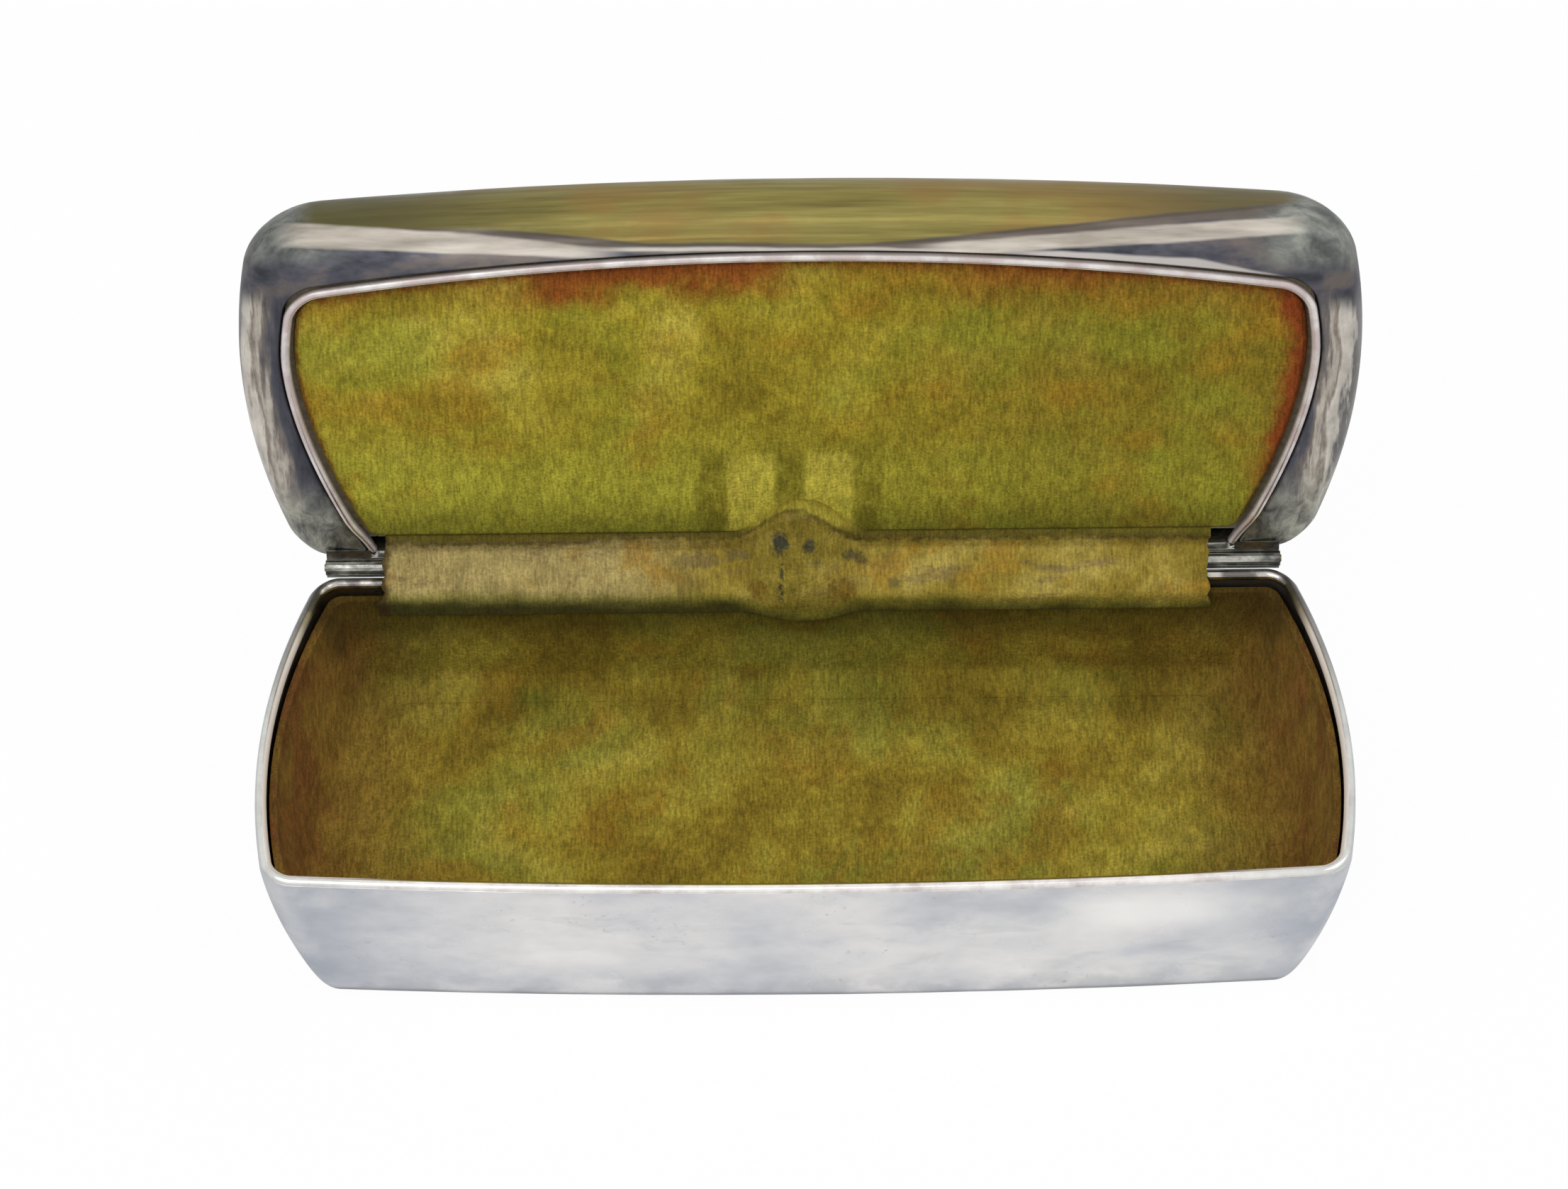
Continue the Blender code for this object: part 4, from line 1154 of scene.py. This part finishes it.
def lid_silver_material():
    """Old silver painted with reflections: olive along the front, pale streaks of painted
    highlight, and dark inside the lip.

    The bands are told by how high a point of the open lid stands over its bead, by its
    place along the lid, and at the ends by its share of the way from the bead to the edge.
    """
    p = Paint("lid_silver", AXIS, -OPEN_ANGLE)
    depth, wide = -p.y, abs(p.x)
    high = seen_up(p.x, depth, p.z) - BEAD_SEEN_UP + p.stray(0.7, 5.0, 3.0, (0.4, 1.0, 1.0))
    mottle = p.noise(9.0, 5.0, (0.7, 0.7, 1.4), rough=0.62, twist=0.15)
    plain = p.ramp(
        mottle,
        (0.34, 140, 137, 134),
        (0.46, 160, 157, 153),
        (0.56, 178, 174, 169),
        (0.68, 196, 192, 186),
    )

    # Painted reflections on the ends: dark by the bead, pale streaks towards the edge, mottled near
    # the hinge.
    bead_half = bead_half_at(depth)
    edge_half = 64.0 - abs((depth - 27.8) / 27.2) ** 2.0 * 4.9
    across = (wide - bead_half) / (edge_half - bead_half)
    across = across + p.stray(0.8, 1.4, 4.0, (1.1, 0.16, 0.5), rough=0.6)
    across = across - p.band(depth, 22.0, 5.0, 0.0, 0.22) + p.band(p.x, -5.0, 5.0, 0.0, 0.18)
    ends = p.ramp(
        across,
        (0.05, 62, 63, 72),
        (0.30, 86, 86, 94),
        (0.44, 126, 118, 112),
        (0.55, 192, 184, 172),
        (0.66, 138, 128, 118),
        (0.78, 212, 205, 194),
        (0.92, 190, 185, 177),
        (1.0, 118, 116, 114),
    )
    ends = p.tone(ends, p.noise(3.0, 4.0, rough=0.65), 0.18)
    hinge_end_reflection = p.ramp(
        p.noise(1.9, 5.0, (1.0, 0.6, 0.8), rough=0.7, twist=0.7),
        (0.34, 88, 88, 86),
        (0.48, 140, 140, 130),
        (0.60, 176, 176, 162),
        (0.72, 206, 202, 190),
    )
    ends = p.mix(p.band(depth, 15.0, 5.0, 0.0, 0.9), ends, hinge_end_reflection)

    # Painted reflections: dark inside the lip, mottled grey at the corners.
    dark = p.ramp(
        p.noise(3.6, 4.0, (0.45, 1.0, 1.0), rough=0.6),
        (0.36, 56, 57, 63),
        (0.50, 82, 82, 90),
        (0.66, 112, 104, 100),
    )
    corner = p.ramp(
        p.noise(3.2, 5.0, (0.8, 0.8, 1.6), rough=0.65, twist=0.3),
        (0.34, 84, 87, 86),
        (0.50, 116, 119, 114),
        (0.66, 148, 150, 143),
    )
    p.colour = p.mix(p.band(wide, 49.0, 55.0) * p.band(high, -2.0, 1.2), dark, corner)

    right_rise = (p.x - 8.0).most(0.0) * 0.105 + 1.35
    left_rise = ((-p.x - 17.0).most(0.0) * 0.085).least(1.5)
    above = high - (right_rise + left_rise)
    # Painted reflection of the olive velvet along the front: browner in patches, darker towards
    # both ends, with darker painted reflections between it and the bead.
    olive = p.ramp(
        p.noise(1.0, 4.0, (0.045, 0.8, 1.2), rough=0.6),
        (0.32, 112, 103, 60),
        (0.46, 131, 121, 70),
        (0.58, 142, 132, 76),
        (0.72, 154, 144, 88),
    )
    brown = p.band(p.noise(9.0, 3.0, (0.5, 1.0, 1.0)), 0.50, 0.64, 0.0, 0.6)
    olive = p.mix(brown, olive, (140, 112, 66))
    olive = p.mix(p.band(p.x, 26.0, 52.0, 0.0, 0.75), olive, (94, 88, 68))
    olive = p.mix(p.band(p.x, -20.0, -50.0, 0.0, 0.85), olive, (84, 81, 57))
    inside = p.band(wide, 56.0, 50.0)
    p.coat(p.between(above, -1.1, 0.1, 0.3) * inside * 0.7, 108, 98, 88)
    painted_olive_reflection = p.band(above, -0.15, 0.35) * p.band(wide, 57.5, 54.0)
    p.colour = p.mix(painted_olive_reflection, p.colour, olive)
    p.coat(p.between(above, -0.25, 0.10, 0.16) * inside * 0.6, 84, 78, 66)
    # Painted highlight: a pale streak along the middle of the front band.
    p.coat(p.between(high, 0.55, 1.0, 0.16) * p.band(wide, 26.0, 18.0) * 0.8, 172, 168, 160)

    # Painted highlight: a light grey band just above the bead on the right.
    highlight_top = (p.x * -0.034 + 1.6).least(p.x * -0.19 + 8.5)
    highlight_above_bead = p.band(high - highlight_top, 0.25, -0.15) * p.band(p.x, 18.0, 30.0)
    p.coat(highlight_above_bead * p.band(p.x, 56.0, 52.0) * 0.9, 194, 188, 184)

    # Painted highlights: the pale streaks across the front band, on the left and on the right.
    left_top = (p.x * -0.057 + 0.36).least(p.x * -0.12 - 1.86)
    left = p.band(high - (p.x * -0.035 - 1.16), -0.15, 0.3) * p.band(high - left_top, 0.2, -0.25)
    left = left * p.band(p.x, -19.0, -26.0) * p.band(p.x, -60.0, -54.5)
    right_top = p.x * 0.078 + 0.446
    right = p.band(high - (p.x * 0.068 - 1.04), -0.15, 0.3) * p.band(high - right_top, 0.2, -0.25)
    right = right * p.band(p.x, 12.0, 18.0) * p.band(p.x, 58.0, 53.0)
    pale = left.most(right)
    shine = p.ramp(
        p.noise(1.6, 4.0, (0.12, 1.0, 1.0), rough=0.6),
        (0.34, 162, 154, 142),
        (0.50, 184, 176, 165),
        (0.66, 200, 193, 183),
    )
    p.colour = p.mix(pale * 0.92, p.colour, shine)

    p.colour = p.mix(p.band(high, -6.5, -3.2), ends, p.colour)
    # Painted reflection: the olive carried faintly onto the front of the crown.
    plain_with_olive_reflection = p.mix(0.45, plain, olive)
    plain = p.mix(p.band(depth, 30.0, 46.0) * p.band(p.z, 13.0, 8.0), plain, plain_with_olive_reflection)
    p.colour = p.mix(p.band(p.z + mottle * 3.0 - 1.5, 7.0, 10.5), p.colour, plain)
    p.colour = p.mix(p.band(depth, 2.0, 0.0), p.colour, plain)
    return finish_metal(p, 0.00006, p.band(mottle, 0.35, 0.7, 0.46, 0.34) + pale * 0.2)


def wire_paint(name, *place):
    """A bright wire's paint, its wear, and how far a point lies inward on the wire."""
    p = Paint(name, *place)
    wear = p.noise(3.4, 4.0, rough=0.6)
    p.colour = p.ramp(wear, (0.34, 204, 196, 194), (0.48, 230, 224, 221), (0.64, 244, 240, 236))
    mark = p.node("ShaderNodeAttribute", {}, attribute_name="inward")
    return p, wear, Value(p.tree, mark.outputs["Fac"])


def rim_silver_material():
    """Bright wire, with a painted reflection greyer on its outer side along the ends, a painted
    highlight on its inner side, and darker at the hinge with wear and painted shade.
    """
    p, wear, inward = wire_paint("rim_silver")
    # Painted reflection: the outer side of the wire greyer along the ends, darker towards the
    # hinge.
    side = p.band(abs(p.x), 44.0, 52.0) * p.band(p.y, -22.5, -20.5)
    flank = p.mix(p.band(p.y, 0.0, 13.0), (204, 206, 202), (132, 132, 128))
    flank = p.tone(flank, p.noise(2.6, 4.0, rough=0.65), 0.12)
    p.colour = p.mix(p.band(inward, 0.30, 0.0, 0.0, 0.9) * side, p.colour, flank)
    # Painted highlight: the inner side is whiter and less metallic, standing in for a bright line
    # of reflection.
    inner = p.band(inward, 0.05, 0.40) * side
    p.coat(inner, 246, 236, 230)
    # Wear and painted shade: mottled dark towards the hinge, under the lid.
    p.coat(p.band(p.y, 13.0, 20.0) * p.band(wear, 0.66, 0.44, 0.45, 0.95), 92, 90, 88)
    matt = inner * p.band(p.y, 20.0, 12.0) * 0.85
    return finish_metal(p, 0.00003, p.band(wear, 0.35, 0.65, 0.28, 0.16), 1.0 - matt)


def bead_silver_material():
    """Bright wire of the lid, a little pink, with painted shade along both its sides."""
    p, wear, inward = wire_paint("bead_silver", AXIS, -OPEN_ANGLE)
    p.coat(p.band(p.noise(4.0, 4.0), 0.40, 0.60, 0.1, 0.8), 200, 182, 178)
    # Painted shade: dark lines along both sides of the bead, where it meets the velvet and the
    # cover.
    p.coat(p.band(abs(inward), 0.62, 0.96, 0.0, 0.75), 108, 98, 92)
    matt = p.band(abs(inward), 0.0, 0.4) * 0.8
    return finish_metal(p, 0.00003, p.band(wear, 0.35, 0.65, 0.30, 0.18), 1.0 - matt)


def knuckle_silver_material():
    """The hinge's barrels: dull grey silver, worn bright in spots."""
    p = Paint("knuckle_silver")
    wear = p.noise(1.6, 5.0, (0.5, 1.0, 1.0), rough=0.65)
    p.colour = p.ramp(wear, (0.34, 78, 78, 76), (0.50, 138, 138, 132), (0.66, 188, 188, 180))
    return finish_metal(p, 0.00004, p.band(wear, 0.35, 0.65, 0.34, 0.2))


def plain_metal_material(name, dark, light, rough_low, rough_high):
    """Unplated metal, duller where it's dark."""
    p = Paint(name)
    wear = p.noise(1.8, 5.0, rough=0.7)
    p.colour = p.ramp(wear, (0.35, *dark), (0.65, *light))
    return finish_metal(p, 0.00005, p.band(wear, 0.35, 0.65, rough_high, rough_low))


def card_material():
    p = Paint("lining_card")
    fibres = p.noise(0.8, 5.0, (0.5, 1.4, 1.0), rough=0.7)
    p.colour = p.ramp(fibres, (0.35, 148, 134, 108), (0.65, 186, 172, 144))
    return p.finish(fibres, 0.00008, Roughness=0.9)


def cotton_material():
    p = Paint("cotton_wadding")
    tufts = p.noise(1.4, 5.0, rough=0.7)
    p.colour = p.ramp(tufts, (0.3, 190, 182, 164), (0.7, 232, 226, 212))
    return p.finish(tufts, 0.0006, Roughness=1.0, Sheen_Weight=0.2)


def give(material, *nodes):
    """Puts a material on carried-over CAD nodes."""
    for name in nodes:
        for place in NODES[name].material_slots:
            place.material = material


# Stage


def area_light(name, place, size, level):
    """A soft square light that lights a facing white surface to a level between 0 and 1."""
    lamp = bpy.data.lights.new(name, "AREA")
    lamp.shape = "SQUARE"
    lamp.size = size
    away = Vector(place) - Vector(VIEW_AIM)
    lamp.energy = level * math.pi**2 * away.length_squared
    obj = bpy.data.objects.new(name, lamp)
    obj.location = place
    obj.rotation_euler = away.to_track_quat("Z", "Y").to_euler()
    bpy.context.scene.collection.objects.link(obj)


def world():
    """A white surround: seen white by eye and in metal, and a softer light on cloth."""
    surround = bpy.data.worlds.new("studio")
    surround.use_nodes = True
    tree = surround.node_tree
    path = add_node(tree, "ShaderNodeLightPath", {}).outputs
    seen = Value(tree, path["Is Camera Ray"]) + path["Is Glossy Ray"]
    seen = seen + path["Is Transmission Ray"]
    inputs = {"Value": seen, "To Min": SURROUND_LEVEL, "To Max": 1.0}
    strength = add_node(tree, "ShaderNodeMapRange", inputs).outputs[0]
    back = {"Color": (1.0, 1.0, 1.0, 1.0), "Strength": strength}
    connect(tree, tree.nodes["Background"], back)
    bpy.context.scene.world = surround


def floor():
    """A white table that keeps a faint shadow."""
    bm = bmesh.new()
    bmesh.ops.create_grid(bm, x_segments=1, y_segments=1, size=FLOOR_SIZE)
    table = mesh_object("floor", bm)
    mat = bpy.data.materials.new("floor_white")
    mat.use_nodes = True
    tree = mat.node_tree
    shader = tree.nodes["Principled BSDF"]
    matt = {"Base Color": (FLOOR_WHITE, FLOOR_WHITE, FLOOR_WHITE, 1.0), "Roughness": 1.0}
    connect(tree, shader, matt | {"Specular IOR Level": 0.0})
    glow = add_node(tree, "ShaderNodeEmission", {"Strength": 1.0})
    path = add_node(tree, "ShaderNodeLightPath", {})
    share = Value(tree, path.outputs["Is Camera Ray"]) * FLOOR_GLOW_SHARE
    both = {0: share, 1: shader.outputs[0], 2: glow.outputs[0]}
    mixed = add_node(tree, "ShaderNodeMixShader", both)
    connect(tree, tree.nodes["Material Output"], {"Surface": mixed.outputs[0]})
    table.data.materials.append(mat)


def camera():
    data = bpy.data.cameras.new("camera")
    data.lens = VIEW_LENS
    data.sensor_width = VIEW_SENSOR
    data.sensor_fit = "HORIZONTAL"
    data.dof.use_dof = False
    obj = bpy.data.objects.new("camera", data)
    bpy.context.scene.collection.objects.link(obj)
    place = Matrix.Translation(VIEW_AIM)
    for angle, axis in ((VIEW_AZIMUTH, "Z"), (90.0 - VIEW_ELEVATION, "X"), (VIEW_ROLL, "Z")):
        place @= Matrix.Rotation(math.radians(angle), 4, axis)
    obj.matrix_world = place @ Matrix.Translation((0.0, 0.0, VIEW_DISTANCE))
    bpy.context.scene.camera = obj


def main():
    camera()
    world()
    area_light("key_light", *KEY_LIGHT)
    area_light("fill_light", *FILL_LIGHT)
    floor()

    knuckle_silver = knuckle_silver_material()
    steel = plain_metal_material("spring_steel", (92, 90, 88), (150, 148, 146), 0.28, 0.5)
    brass = plain_metal_material("pin_brass", (104, 86, 56), (158, 134, 92), 0.25, 0.45)
    floor_velvet = tray_velvet_material("floor_velvet_olive", False)
    wall_velvet = tray_velvet_material("wall_velvet_brown", True)

    dress(tray_shell(), "base", "silver_plate", tray_silver_material(), "base_shell")
    dress(tray_rim(), "base", "bright_silver", rim_silver_material(), "base_rim_wire")
    pad = tray_floor_pad()
    dress(pad, "base", "floor_velvet", floor_velvet, "base_floor_velvet")
    lining = tray_wall_lining()
    dress(lining, "base", "brown_velvet", wall_velvet, "base_wall_velvet")

    dress(lid_cover(), "lid", "silver_plate", lid_silver_material(), "lid_shell")
    dress(lid_bead(), "lid", "bright_silver", bead_silver_material(), "lid_bead")
    panel = lid_lining()
    dress(panel, "lid", "olive_velvet", lid_velvet_material(), "lid_velvet")
    stuffing = lid_stuffing()
    dress(stuffing, "lid", "cotton_wadding", cotton_material(), "lid_wadding")

    spring = snap_spring()
    dress(spring, None, "spring_steel", steel, "spring_leaf")
    cloth = hinge_cloth()
    dress(cloth, None, "gusset_cloth", gusset_material(), "hinge_gusset")
    for piece in (spring, cloth):
        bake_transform(piece)

    dress(tray_hinge_leaf(), "base", "bright_silver", knuckle_silver)
    dress(lid_hinge_leaf(), "lid", "bright_silver", knuckle_silver)

    give(knuckle_silver, *[f"base_knuckle_{i}" for i in range(1, 5)])
    give(knuckle_silver, *[f"lid_knuckle_{i}" for i in range(1, 4)])
    give(brass, "hinge_pin")
    give(steel, "spring_socket", "lid_lug")
    give(card_material(), "base_floor_card", "lid_card")

    bpy.context.scene.view_settings.view_transform = "Standard"


main()
